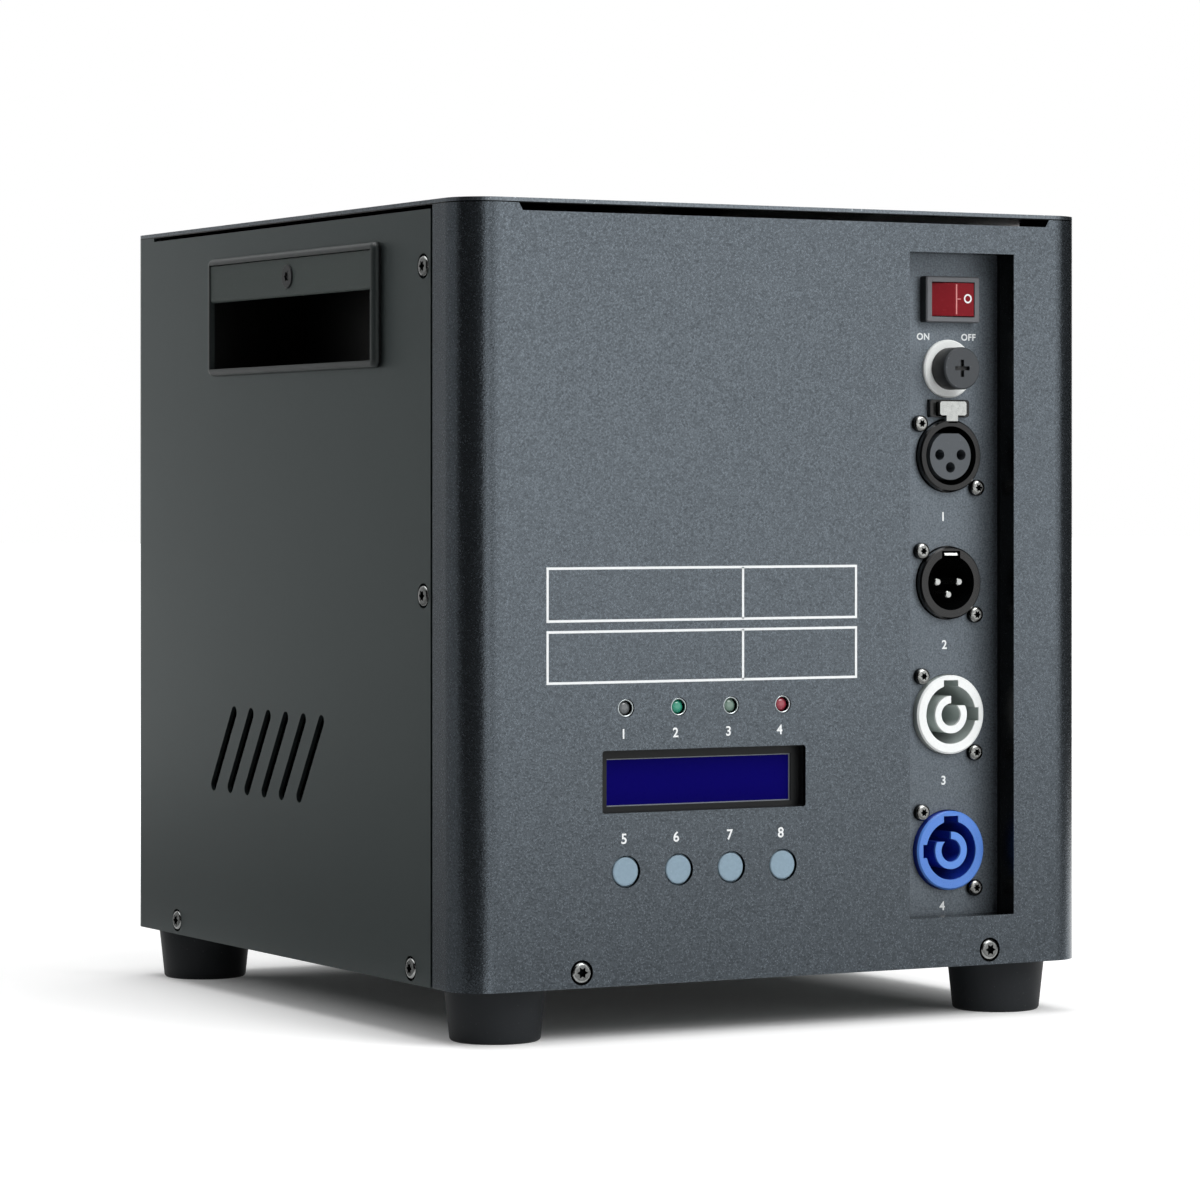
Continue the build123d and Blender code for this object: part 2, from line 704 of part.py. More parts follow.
# Handle pocket and grip strip of each side
for side, word in ((-1, "left"), (1, "right")):
    handle_spot = side_spot(side, HANDLE_DEPTH, HANDLE_Z)
    pocket_top = HANDLE_Z + POCKET_H / 2
    face = side_plane(side)
    with BuildPart() as handle_pocket:
        with BuildSketch(face):
            with Locations(handle_spot):
                RectangleRounded(HANDLE_W, HANDLE_H, HANDLE_CORNER_R)
        extrude(amount=HANDLE_PROUD)
        outer_face = handle_pocket.faces().sort_by(Axis.X)[-1 if side > 0 else 0]
        fillet(outer_face.edges(), HANDLE_ROUND)
        with BuildSketch(face):
            with Locations(handle_spot):
                Rectangle(POCKET_W + 2 * POCKET_WALL, POCKET_H + 2 * POCKET_WALL)
        extrude(amount=-POCKET_DEPTH, taper=POCKET_TAPER)
        with BuildSketch(face.offset(HANDLE_PROUD)):
            with Locations(handle_spot):
                Rectangle(POCKET_W, POCKET_H)
        extrude(amount=-HANDLE_PROUD - POCKET_DEPTH + POCKET_WALL, taper=POCKET_TAPER, mode=Mode.SUBTRACT)
        # Boss under the pocket's ceiling, which takes the grip screw
        with BuildSketch(face.offset(HANDLE_PROUD - GRIP_SET_BACK - GRIP_T)):
            with Locations(side_spot(side, HANDLE_DEPTH, pocket_top + POCKET_WALL / 2 - GRIP_BOSS / 2)):
                Rectangle(GRIP_BOSS, GRIP_BOSS + POCKET_WALL)
        extrude(amount=-GRIP_SHELF)
        with BuildSketch(face.offset(HANDLE_PROUD)):
            with Locations(side_spot(side, HANDLE_DEPTH, pocket_top - GRIP_H / 2)):
                Circle(SCREW_SHANK_R + FIT)
        extrude(amount=-GRIP_SHELF, mode=Mode.SUBTRACT)
    save(handle_pocket, f"{word}_handle_pocket")

    with BuildPart() as grip_strip:
        with BuildSketch(face.offset(HANDLE_PROUD - GRIP_SET_BACK)):
            with Locations(side_spot(side, HANDLE_DEPTH, pocket_top - RUN - GRIP_H / 2)):
                Rectangle(POCKET_W - 2 * RUN, GRIP_H)
        extrude(amount=-GRIP_T)
        fillet(grip_strip.edges().filter_by(Axis.Y).group_by(Axis.Z)[0], GRIP_EDGE_R)
        with BuildSketch(face.offset(HANDLE_PROUD)):
            with Locations(side_spot(side, HANDLE_DEPTH, pocket_top - GRIP_H / 2)):
                Circle(SCREW_SHANK_R + FIT)
        extrude(amount=-2 * GRIP_T, mode=Mode.SUBTRACT)
    save(grip_strip, f"{word}_grip_strip")

# One dark screw in each grip strip
with BuildPart() as grip_screws:
    for side in (-1, 1):
        spot = side_spot(side, HANDLE_DEPTH, HANDLE_Z + POCKET_H / 2 - GRIP_H / 2)
        seat = side_plane(side, HANDLE_PROUD - GRIP_SET_BACK)
        add_screws(
            seat,
            [spot],
            GRIP_SCREW_R,
            SCREW_HEAD_PROUD,
            GRIP_SCREW_CROWN,
            SCREW_SHANK_R,
            SCREW_LENGTH,
            SCREW_RECESS_R,
            SCREW_HEAD_PROUD,
        )
save(grip_screws, "grip_screws")

# Socket plate: a tray behind the recess, with lips on the front sheet
socket_spots = {
    "switch": front_spot(COLUMN_X, SWITCH_Z),
    "fuse": front_spot(COLUMN_X, FUSE_Z),
    "dmx_out": front_spot(COLUMN_X, DMX_OUT_Z),
    "dmx_in": front_spot(COLUMN_X, DMX_IN_Z),
    "power_out": front_spot(COLUMN_X, POWER_OUT_Z),
    "power_in": front_spot(COLUMN_X, POWER_IN_Z),
}


def screw_pair(name, dx, dz):
    """Two screws of a socket, upper left and lower right."""
    x, z = socket_spots[name]
    return [(x - dx, z + dz), (x + dx, z - dz)]


SIGNAL_SCREWS = [
    *screw_pair("dmx_out", OUT_SCREW_DX, SIGNAL_SCREW_DZ),
    *screw_pair("dmx_in", IN_SCREW_DX, SIGNAL_SCREW_DZ),
]
POWER_SCREWS = [
    *screw_pair("power_out", POWER_SCREW_DX, POWER_SCREW_DZ),
    *screw_pair("power_in", POWER_SCREW_DX, POWER_SCREW_DZ),
]

with BuildPart() as socket_plate:
    with BuildSketch(front_plane(SHEET)):
        with Locations(front_spot(RECESS_X, RECESS_Z)):
            Rectangle(RECESS_W + 2 * TRAY_GAP + 2 * PLATE_LIP, RECESS_H + 2 * TRAY_GAP)
    extrude(amount=-SHEET)
    with BuildSketch(front_plane(SHEET)):
        with Locations(front_spot(RECESS_X, RECESS_Z)):
            Rectangle(RECESS_W + 2 * TRAY_GAP + 2 * SHEET, RECESS_H + 2 * TRAY_GAP + 2 * SHEET)
    extrude(amount=-PLATE_BACK + SHEET)
    with BuildSketch(front_plane(SHEET)):
        with Locations(front_spot(RECESS_X, RECESS_Z)):
            Rectangle(RECESS_W + 2 * TRAY_GAP, RECESS_H + 2 * TRAY_GAP)
    extrude(amount=-PLATE_DEPTH + SHEET, mode=Mode.SUBTRACT)
    with BuildSketch(front_plane(PLATE_DEPTH)):
        with Locations(socket_spots["switch"]):
            Rectangle(SWITCH_BODY_W + 2 * FIT, SWITCH_BODY_H + 2 * FIT)
        with Locations(socket_spots["fuse"]):
            Circle(FUSE_NECK_R + FIT)
        with Locations(socket_spots["dmx_out"], socket_spots["dmx_in"]):
            Circle(SIGNAL_R + SOCKET_HOLE_GAP)
        with Locations(socket_spots["power_out"], socket_spots["power_in"]):
            Circle(POWER_R + SOCKET_HOLE_GAP)
        with Locations(*SIGNAL_SCREWS, *POWER_SCREWS):
            Circle(SOCKET_SCREW_SHANK_R + FIT)
        # Slot for the release tab's stem over the outgoing signal socket
        tab_x, tab_z = socket_spots["dmx_out"]
        with Locations((tab_x, tab_z + TAB_ABOVE)):
            Rectangle(HUMP_W + 2 * FIT, HUMP_H + 2 * FIT)
    extrude(amount=-SHEET, mode=Mode.SUBTRACT)
save(socket_plate, "socket_plate")

# Rocker switch: snap-in housing and its rocker, which turns on an upright pin
switch_x, switch_z = socket_spots["switch"]
rocker_y = FRONT_Y + PLATE_DEPTH - SWITCH_PROUD + ROCKER_PIVOT
with BuildPart() as switch_housing:
    with BuildSketch(front_plane(PLATE_DEPTH)):
        with Locations((switch_x, switch_z)):
            RectangleRounded(SWITCH_W, SWITCH_H, SWITCH_CORNER_R)
    extrude(amount=SWITCH_PROUD)
    chamfer(switch_housing.faces().sort_by(Axis.Y)[0].edges(), SWITCH_EDGE)
    with BuildSketch(front_plane(PLATE_DEPTH)):
        with Locations((switch_x, switch_z)):
            Rectangle(SWITCH_BODY_W, SWITCH_BODY_H)
    extrude(amount=-SWITCH_BODY_D)
    with BuildSketch(Plane.XY.offset(switch_z)):
        with Locations((switch_x, rocker_y)):
            Circle(ROCKER_R + RUN)
        with Locations((switch_x, rocker_y - ROCKER_PIVOT)):
            Rectangle(2 * (ROCKER_R + RUN), 2 * ROCKER_PIVOT)
    extrude(amount=ROCKER_H / 2 + RUN, both=True, mode=Mode.SUBTRACT)
    with BuildSketch(Plane.XY.offset(switch_z)):
        with Locations((switch_x, rocker_y)):
            Circle(ROCKER_PIN_R + ROCKER_PIN_FIT)
    extrude(amount=SWITCH_BODY_H / 2 - ROCKER_WALL / 4, both=True, mode=Mode.SUBTRACT)
    # Three tab terminals at the back
    with BuildSketch(front_plane(PLATE_DEPTH + SWITCH_BODY_D)):
        with Locations((switch_x, switch_z)):
            with GridLocations(SWITCH_TAB_PITCH, 0, 3, 1):
                Rectangle(TERMINAL_T, TERMINAL_W)
    extrude(amount=-TERMINAL_L)
save(switch_housing, "switch_housing")

with BuildPart() as switch_rocker:
    with BuildSketch(Plane.XY.offset(switch_z)):
        with Locations((switch_x, rocker_y)):
            Circle(ROCKER_R)
    extrude(amount=ROCKER_H / 2, both=True)
    # Two flats that meet in an upright ridge, the right one parallel to the panel
    ridge = (switch_x, rocker_y - ROCKER_PIVOT - ROCKER_RISE)
    with BuildSketch(Plane.XY.offset(switch_z)):
        with BuildLine():
            Polyline(
                ridge,
                (ridge[0] + 2 * ROCKER_R, ridge[1]),
                (ridge[0] + 2 * ROCKER_R, ridge[1] - 3 * ROCKER_R),
                (ridge[0] - 2 * ROCKER_R, ridge[1] - 3 * ROCKER_R),
                (ridge[0] - 2 * ROCKER_R, ridge[1] + 2 * ROCKER_R * sin(radians(2 * ROCKER_SLOPE))),
                close=True,
            )
        make_face()
    extrude(amount=ROCKER_H, both=True, mode=Mode.SUBTRACT)
    with BuildSketch(Plane.XY.offset(switch_z)):
        with Locations((switch_x, rocker_y)):
            Circle(ROCKER_PIN_R)
    extrude(amount=SWITCH_BODY_H / 2 - ROCKER_WALL / 2, both=True)
save(switch_rocker, "switch_rocker")

# Fuse holder: ring and body on the plate, screw cap and glass fuse that draw out
fuse_x, fuse_z = socket_spots["fuse"]
cap_seat = PLATE_DEPTH - FUSE_RING_T - RUN
with BuildPart() as fuse_ring:
    with BuildSketch(front_plane(PLATE_DEPTH)):
        with Locations((fuse_x, fuse_z)):
            Circle(FUSE_RING_R)
            Circle(FUSE_NECK_R + FIT, mode=Mode.SUBTRACT)
    extrude(amount=FUSE_RING_T)
    chamfer(fuse_ring.faces().sort_by(Axis.Y)[0].outer_wire().edges(), FUSE_EDGE)
save(fuse_ring, "fuse_ring")

with BuildPart() as fuse_holder:
    with BuildSketch(front_plane(PLATE_DEPTH - FUSE_RING_T)):
        with Locations((fuse_x, fuse_z)):
            Circle(FUSE_NECK_R)
    extrude(amount=-FUSE_RING_T - SHEET)
    with BuildSketch(front_plane(PLATE_BACK)):
        with Locations((fuse_x, fuse_z)):
            Circle(FUSE_BODY_R)
    extrude(amount=-FUSE_BODY_L)
    with BuildSketch(front_plane(PLATE_DEPTH - FUSE_RING_T)):
        with Locations((fuse_x, fuse_z)):
            Circle(FUSE_BORE_R)
    extrude(amount=-FUSE_RING_T - FUSE_BODY_L + SHEET, mode=Mode.SUBTRACT)
    # Rear terminal tab
    with BuildSketch(front_plane(PLATE_BACK + FUSE_BODY_L)):
        with Locations((fuse_x, fuse_z)):
            Rectangle(TERMINAL_T, FUSE_TERMINAL_W)
    extrude(amount=-TERMINAL_L)
save(fuse_holder, "fuse_holder")

with BuildPart() as fuse_cap:
    with BuildSketch(front_plane(cap_seat)):
        with Locations((fuse_x, fuse_z)):
            Circle(FUSE_CAP_R)
    extrude(amount=FUSE_CAP_PROUD - FUSE_RING_T - RUN)
    chamfer(fuse_cap.faces().sort_by(Axis.Y)[0].edges(), FUSE_EDGE)
    with BuildSketch(front_plane(cap_seat)):
        with Locations((fuse_x, fuse_z)):
            Circle(FUSE_BORE_R - FUSE_SLEEVE_FIT)
    extrude(amount=-FUSE_SLEEVE_L)
    with BuildSketch(front_plane(cap_seat)):
        with Locations((fuse_x, fuse_z)):
            Circle(FUSE_LINK_R + FUSE_LINK_FIT)
    extrude(amount=-FUSE_SLEEVE_L, mode=Mode.SUBTRACT)
    # Cross slot for a screwdriver or a coin
    with BuildSketch(front_plane(PLATE_DEPTH - FUSE_CAP_PROUD)):
        with Locations((fuse_x, fuse_z)):
            Rectangle(FUSE_SLOT_L, FUSE_SLOT_W)
            Rectangle(FUSE_SLOT_W, FUSE_SLOT_L)
    extrude(amount=-FUSE_SLOT_DEPTH, mode=Mode.SUBTRACT)
save(fuse_cap, "fuse_cap")

with BuildPart() as fuse_link:
    with BuildSketch(front_plane(cap_seat)):
        with Locations((fuse_x, fuse_z)):
            Circle(FUSE_LINK_R)
    extrude(amount=-FUSE_LINK_L)
    chamfer(fuse_link.edges().filter_by(GeomType.CIRCLE), FUSE_LINK_EDGE)
save(fuse_link, "fuse_link")


def socket_block(x, z, ring_r, screws):
    """Flange behind the plate, round body behind it and a ring through the plate."""
    with BuildPart() as block:
        with BuildSketch(front_plane(PLATE_BACK)):
            with Locations((x, z)):
                RectangleRounded(FLANGE_W, FLANGE_H, FLANGE_R)
        extrude(amount=-FLANGE_T)
        with BuildSketch(front_plane(PLATE_DEPTH - SOCKET_PROUD)):
            with Locations((x, z)):
                Circle(ring_r)
        extrude(amount=-SOCKET_PROUD - SHEET - SOCKET_BODY_D)
        chamfer(block.faces().sort_by(Axis.Y)[0].edges(), SOCKET_EDGE)
        with BuildSketch(front_plane(PLATE_BACK)):
            with Locations(*screws):
                Circle(SOCKET_SCREW_SHANK_R + FIT)
        extrude(amount=-FLANGE_T, mode=Mode.SUBTRACT)
    return block.part


socket_face = PLATE_DEPTH - SOCKET_PROUD
socket_depth = SOCKET_PROUD + SHEET + SOCKET_BODY_D - SOCKET_FLOOR


def pole_spots(x, z):
    """Three poles of a signal socket: two above, one below."""
    return [(x - POLE_DX, z + POLE_UP), (x + POLE_DX, z + POLE_UP), (x, z - POLE_DOWN)]


# Outgoing signal socket: shell, insert with three holes, and the release tab
out_x, out_z = socket_spots["dmx_out"]
with BuildPart() as dmx_out_shell:
    add(socket_block(out_x, out_z, SIGNAL_R, screw_pair("dmx_out", OUT_SCREW_DX, SIGNAL_SCREW_DZ)))
    with BuildSketch(front_plane(socket_face)):
        with Locations((out_x, out_z)):
            Circle(OUT_BORE_R)
    extrude(amount=-socket_depth, mode=Mode.SUBTRACT)
    # Hump behind the release tab
    with BuildSketch(front_plane(PLATE_DEPTH - HUMP_PROUD)):
        with Locations((out_x, out_z + TAB_ABOVE)):
            RectangleRounded(HUMP_W, HUMP_H, HUMP_CORNER_R)
    extrude(amount=-HUMP_PROUD - SHEET - FLANGE_T)
    with BuildSketch(front_plane(PLATE_DEPTH - HUMP_PROUD)):
        with Locations((out_x, out_z + TAB_ABOVE)):
            Rectangle(TAB_W + 2 * RUN, TAB_H + 2 * RUN)
    extrude(amount=-TAB_TRAVEL - RUN, mode=Mode.SUBTRACT)
    with BuildSketch(front_plane(socket_face)):
        with Locations((out_x, out_z + (TAB_ABOVE + TAB_STEM_END) / 2)):
            Rectangle(TAB_STEM_W + 2 * RUN, TAB_ABOVE - TAB_STEM_END + 2 * RUN)
    extrude(amount=HUMP_PROUD - SOCKET_PROUD - TAB_TRAVEL - RUN, mode=Mode.SUBTRACT)
save(dmx_out_shell, "dmx_out_shell")

with BuildPart() as dmx_out_insert:
    with BuildSketch(front_plane(socket_face + OUT_INSERT_SET_BACK)):
        with Locations((out_x, out_z)):
            Circle(OUT_INSERT_R)
        with Locations((out_x, out_z + OUT_INSERT_FLAT - OUT_INSERT_R)):
            Rectangle(2 * OUT_INSERT_R, 2 * OUT_INSERT_R, mode=Mode.INTERSECT)
        with Locations(*pole_spots(out_x, out_z)):
            Circle(OUT_HOLE_R, mode=Mode.SUBTRACT)
    extrude(amount=-socket_depth + OUT_INSERT_SET_BACK)
save(dmx_out_insert, "dmx_out_insert")

with BuildPart() as dmx_release_tab:
    with BuildSketch(front_plane(PLATE_DEPTH - TAB_PROUD)):
        with Locations((out_x, out_z + TAB_ABOVE)):
            RectangleRounded(TAB_W, TAB_H, TAB_CORNER_R)
    extrude(amount=-TAB_PROUD + HUMP_PROUD)
    with BuildSketch(front_plane(PLATE_DEPTH - HUMP_PROUD - TAB_T)):
        with Locations((out_x, out_z + (TAB_ABOVE + TAB_STEM_END) / 2)):
            Rectangle(TAB_STEM_W, TAB_ABOVE - TAB_STEM_END - 2 * RUN)
    extrude(amount=-TAB_T)
save(dmx_release_tab, "dmx_release_tab")

# Incoming signal socket: shell with a key notch, and three pins
in_x, in_z = socket_spots["dmx_in"]
with BuildPart() as dmx_in_shell:
    add(socket_block(in_x, in_z, SIGNAL_R, screw_pair("dmx_in", IN_SCREW_DX, SIGNAL_SCREW_DZ)))
    with BuildSketch(front_plane(socket_face)):
        with Locations((in_x, in_z)):
            Circle(IN_BORE_R)
        with Locations((in_x, in_z + (IN_BORE_R + IN_NOTCH) / 2)):
            Rectangle(IN_NOTCH_W, IN_BORE_R + IN_NOTCH)
    extrude(amount=-socket_depth, mode=Mode.SUBTRACT)
save(dmx_in_shell, "dmx_in_shell")

with BuildPart() as dmx_in_pins:
    with BuildSketch(front_plane(socket_face + IN_PIN_SET_BACK)):
        with Locations(*pole_spots(in_x, in_z)):
            Circle(IN_PIN_R)
    extrude(amount=-socket_depth + IN_PIN_SET_BACK)
    chamfer(dmx_in_pins.edges().group_by(Axis.Y)[0], IN_PIN_EDGE)
save(dmx_in_pins, "dmx_in_pins")

# Power sockets: keyed ring and an open round core, mirrored between out and in
for name, key_side in (("power_out", 1), ("power_in", -1)):
    x, z = socket_spots[name]
    with BuildPart() as power_shell:
        add(socket_block(x, z, POWER_R, screw_pair(name, POWER_SCREW_DX, POWER_SCREW_DZ)))
        with BuildSketch(front_plane(socket_face)):
            with Locations((x, z)):
                Circle(POWER_BORE_R)
            with Locations((x, z + (POWER_BORE_R + POWER_KEY) / 2)):
                Rectangle(POWER_KEY_W, POWER_BORE_R + POWER_KEY)
            with Locations((x + key_side * (POWER_BORE_R + POWER_SIDE_KEY) / 2, z)):
                Rectangle(POWER_BORE_R + POWER_SIDE_KEY, POWER_SIDE_KEY_W)
        extrude(amount=-socket_depth, mode=Mode.SUBTRACT)
    save(power_shell, f"{name}_shell")

    with BuildPart() as power_core:
        with BuildSketch(front_plane(socket_face)):
            with Locations((x, z)):
                Circle(POWER_CORE_R)
        extrude(amount=-socket_depth)
        with BuildSketch(front_plane(socket_face)):
            with Locations((x, z)):
                Circle(POWER_CORE_BORE_R)
            # Open quarter of the core, beside the upper key
            with Locations((x + key_side * POWER_CORE_R / 2, z + POWER_CORE_OPEN_Z + POWER_CORE_R / 2)):
                Rectangle(POWER_CORE_R, POWER_CORE_R)
        extrude(amount=-socket_depth + SOCKET_FLOOR, mode=Mode.SUBTRACT)
    save(power_core, f"{name}_core")

# Bright screws of the four sockets
with BuildPart() as socket_screws:
    add_screws(
        front_plane(PLATE_DEPTH),
        SIGNAL_SCREWS + POWER_SCREWS,
        SOCKET_SCREW_HEAD_R,
        SOCKET_SCREW_HEAD,
        SOCKET_SCREW_CROWN,
        SOCKET_SCREW_SHANK_R,
        SHEET + FLANGE_T,
        SOCKET_SCREW_RECESS_R,
        SCREW_RECESS,
    )
save(socket_screws, "socket_screws")

# Display: bezel box behind the window and its screen
with BuildPart() as display_bezel:
    with BuildSketch(front_plane(SHEET)):
        with Locations(front_spot(DISPLAY_X, DISPLAY_Z)):
            Rectangle(DISPLAY_W + 2 * BEZEL_WALL, DISPLAY_H + 2 * BEZEL_WALL)
    extrude(amount=SHEET - BOARD_DEPTH)
    with BuildSketch(front_plane(SHEET)):
        with Locations(front_spot(DISPLAY_X, DISPLAY_Z)):
            RectangleRounded(DISPLAY_W, DISPLAY_H, DISPLAY_CORNER_R)
    extrude(amount=SHEET + BEZEL_LEDGE - SCREEN_DEPTH, mode=Mode.SUBTRACT)
    with BuildSketch(front_plane(SHEET)):
        with Locations(front_spot(SCREEN_X, SCREEN_Z)):
            Rectangle(SCREEN_W, SCREEN_H)
    extrude(amount=SHEET - BOARD_DEPTH, mode=Mode.SUBTRACT)
    with BuildSketch(front_plane(SCREEN_DEPTH)):
        with Locations(front_spot(SCREEN_X, SCREEN_Z)):
            Rectangle(SCREEN_W + 2 * GLASS_EDGE + 2 * RUN, SCREEN_H + 2 * GLASS_EDGE + 2 * RUN)
    extrude(amount=SCREEN_DEPTH - BOARD_DEPTH, mode=Mode.SUBTRACT)
save(display_bezel, "display_bezel")

with BuildPart() as display_screen:
    with BuildSketch(front_plane(SCREEN_DEPTH)):
        with Locations(front_spot(SCREEN_X, SCREEN_Z)):
            Rectangle(SCREEN_W + 2 * GLASS_EDGE, SCREEN_H + 2 * GLASS_EDGE)
    extrude(amount=-GLASS_T)
save(display_screen, "display_screen")

# Four lamps that stand on the board behind their holes
LAMP_NAMES = ("first_lamp", "green_lamp", "pale_green_lamp", "red_lamp")
for name, (x, z) in zip(LAMP_NAMES, row_spots(LAMP_Z)):
    with BuildPart() as lamp:
        with BuildSketch(front_plane(BOARD_DEPTH)):
            with Locations((x, z)):
                Circle(LAMP_RIM_R)
        extrude(amount=LAMP_RIM)
        with BuildSketch(front_plane(BOARD_DEPTH)):
            with Locations((x, z)):
                Circle(LAMP_R)
        extrude(amount=BOARD_DEPTH - LAMP_RECESS)
        fillet(lamp.faces().sort_by(Axis.Y)[0].edges(), LAMP_DOME_R)
    save(lamp, name)

# Four push buttons, each with a rim behind the sheet and a stem to its key switch
BUTTON_NAMES = ("menu_button", "down_button", "up_button", "enter_button")
for name, (x, z) in zip(BUTTON_NAMES, row_spots(BUTTON_Z)):
    with BuildPart() as button:
        with BuildSketch(front_plane(BUTTON_RECESS)):
            with Locations((x, z)):
                Circle(BUTTON_R)
        extrude(amount=BUTTON_RECESS - SHEET - RUN)
        fillet(button.faces().sort_by(Axis.Y)[0].edges(), BUTTON_EDGE_R)
        with BuildSketch(front_plane(SHEET + RUN)):
            with Locations((x, z)):
                Circle(BUTTON_RIM_R)
        extrude(amount=-BUTTON_RIM)
        with BuildSketch(front_plane(SHEET + RUN)):
            with Locations((x, z)):
                Circle(BUTTON_STEM_R)
        extrude(amount=SHEET + RUN - BOARD_DEPTH + KEY_SWITCH_H + BUTTON_TRAVEL + FIT)
    save(button, name)

# Key switches on the board, one behind each button
with BuildPart() as key_switches:
    with BuildSketch(front_plane(BOARD_DEPTH)):
        with Locations(*row_spots(BUTTON_Z)):
            Rectangle(KEY_SWITCH, KEY_SWITCH)
    extrude(amount=KEY_SWITCH_H)
save(key_switches, "key_switches")

# Control board behind the display, the lamps and the buttons
with BuildPart() as control_board:
    low_z = BUTTON_Z - BOARD_MARGIN
    high_z = LAMP_Z + BOARD_MARGIN
    with BuildSketch(front_plane(BOARD_DEPTH)):
        with Locations(front_spot(DISPLAY_X, (low_z + high_z) / 2)):
            board_w = DISPLAY_W + 2 * BEZEL_WALL + 2 * BOARD_MARGIN
            RectangleRounded(board_w, high_z - low_z, BOARD_CORNER_R)
    extrude(amount=-BOARD_T)
    # Spacers to the front sheet at the four corners
    with BuildSketch(front_plane(BOARD_DEPTH)):
        with Locations(front_spot(DISPLAY_X, (low_z + high_z) / 2)):
            spacer_w = DISPLAY_W + 2 * BEZEL_WALL + BOARD_MARGIN
            with GridLocations(spacer_w, high_z - low_z - BOARD_MARGIN, 2, 2):
                Circle(BOARD_SPACER_R)
    extrude(amount=BOARD_DEPTH - SHEET)
save(control_board, "control_board")

# Blower: drum with an upward duct, a flange that carries the heater, and its motor
blower_y = SPARK_Y + BLOWER_BORE_R - BLOWER_DUCT / 2
blower_z = TRAY_TOP_Z + BLOWER_BORE_R + BLOWER_WALL
duct_top_z = blower_z + BLOWER_BORE_R + BLOWER_WALL + BLOWER_OUTLET_H
inner_w = BLOWER_W - 2 * BLOWER_WALL
across = Plane.YZ.offset(SPARK_X)
with BuildPart() as blower_housing:
    with BuildSketch(across):
        with Locations((blower_y, blower_z)):
            Circle(BLOWER_BORE_R + BLOWER_WALL)
        with Locations((SPARK_Y, (blower_z + duct_top_z) / 2)):
            Rectangle(BLOWER_DUCT + 2 * BLOWER_WALL, duct_top_z - blower_z)
    extrude(amount=BLOWER_W / 2, both=True)
    with BuildSketch(Plane.XY.offset(TRAY_TOP_Z)):
        with Locations((SPARK_X, blower_y)):
            Rectangle(BLOWER_W, BLOWER_BASE_L)
    extrude(amount=BLOWER_BASE_H)
    with BuildSketch(Plane.XY.offset(duct_top_z)):
        with Locations((SPARK_X, SPARK_Y)):
            Circle(JACKET_R)
    extrude(amount=-BLOWER_FLANGE_T)
    with BuildSketch(across):
        with Locations((blower_y, blower_z)):
            Circle(BLOWER_BORE_R)
        with Locations((SPARK_Y, (blower_z + duct_top_z) / 2)):
            Rectangle(BLOWER_DUCT, duct_top_z - blower_z)
    extrude(amount=inner_w / 2, both=True, mode=Mode.SUBTRACT)
    with BuildSketch(across.offset(BLOWER_W / 2)):
        with Locations((blower_y, blower_z)):
            Circle(BLOWER_INLET_R)
    extrude(amount=-BLOWER_WALL, mode=Mode.SUBTRACT)
    with BuildSketch(across.offset(-BLOWER_W / 2)):
        with Locations((blower_y, blower_z)):
            Circle(BLOWER_MOTOR_R)
    extrude(amount=-BLOWER_MOTOR_L)
    with BuildSketch(across.offset(-inner_w / 2)):
        with Locations((blower_y, blower_z)):
            Circle(BLOWER_SHAFT_R + BLOWER_SHAFT_FIT)
    extrude(amount=-BLOWER_MOTOR_L, mode=Mode.SUBTRACT)
save(blower_housing, "blower_housing")

wheel_w = inner_w - 2 * SHEET
with BuildPart() as blower_wheel:
    with BuildSketch(across.offset(-wheel_w / 2)):
        with Locations((blower_y, blower_z)):
            Circle(BLOWER_WHEEL_R)
    extrude(amount=SHEET)
    with BuildSketch(across.offset(-wheel_w / 2)):
        with Locations((blower_y, blower_z)):
            with PolarLocations(BLOWER_WHEEL_R - BLOWER_WHEEL_RIM / 2, BLOWER_BLADES):
                Rectangle(BLOWER_WHEEL_RIM - SHEET, BLOWER_BLADE_T, rotation=BLOWER_BLADE_TILT)
            Circle(BLOWER_HUB_R)
    extrude(amount=wheel_w - SHEET / 2)
    with BuildSketch(across.offset(wheel_w / 2)):
        with Locations((blower_y, blower_z)):
            Circle(BLOWER_WHEEL_R)
            Circle(BLOWER_WHEEL_R - BLOWER_WHEEL_RIM, mode=Mode.SUBTRACT)
    extrude(amount=-SHEET)
    with BuildSketch(across.offset(-wheel_w / 2)):
        with Locations((blower_y, blower_z)):
            Circle(BLOWER_SHAFT_R)
    extrude(amount=SHEET - BLOWER_MOTOR_L)
save(blower_wheel, "blower_wheel")

# Heater: chamber, band heater round it, insulation round both
chamber_top_z = duct_top_z + CHAMBER_H
bore_r = NOZZLE_R - NOZZLE_WALL
feed_end_y = SPARK_Y + bore_r + SHEET
with BuildPart() as heating_chamber:
    with BuildSketch(Plane.XY.offset(duct_top_z)):
        with Locations((SPARK_X, SPARK_Y)):
            Circle(CHAMBER_R)
            Circle(bore_r, mode=Mode.SUBTRACT)
    extrude(amount=CHAMBER_H)
    with BuildSketch(Plane.XZ.offset(-SPARK_Y)):
        with Locations((SPARK_X, FEED_Z)):
            Circle(FEED_TUBE_R + FIT)
    extrude(amount=-CHAMBER_R, mode=Mode.SUBTRACT)
save(heating_chamber, "heating_chamber")

band_top_z = FEED_Z - FEED_TUBE_R - BAND_MARGIN
band_low_z = duct_top_z + BAND_MARGIN
with BuildPart() as heater_band:
    with BuildSketch(Plane.XY.offset(band_low_z)):
        with Locations((SPARK_X, SPARK_Y)):
            Circle(CHAMBER_R + BAND_T)
            Circle(CHAMBER_R + FIT / 2, mode=Mode.SUBTRACT)
        with Locations((SPARK_X, SPARK_Y - CHAMBER_R)):
            Rectangle(BAND_SLIT, 4 * BAND_T, mode=Mode.SUBTRACT)
    extrude(amount=band_top_z - band_low_z)
save(heater_band, "heater_band")

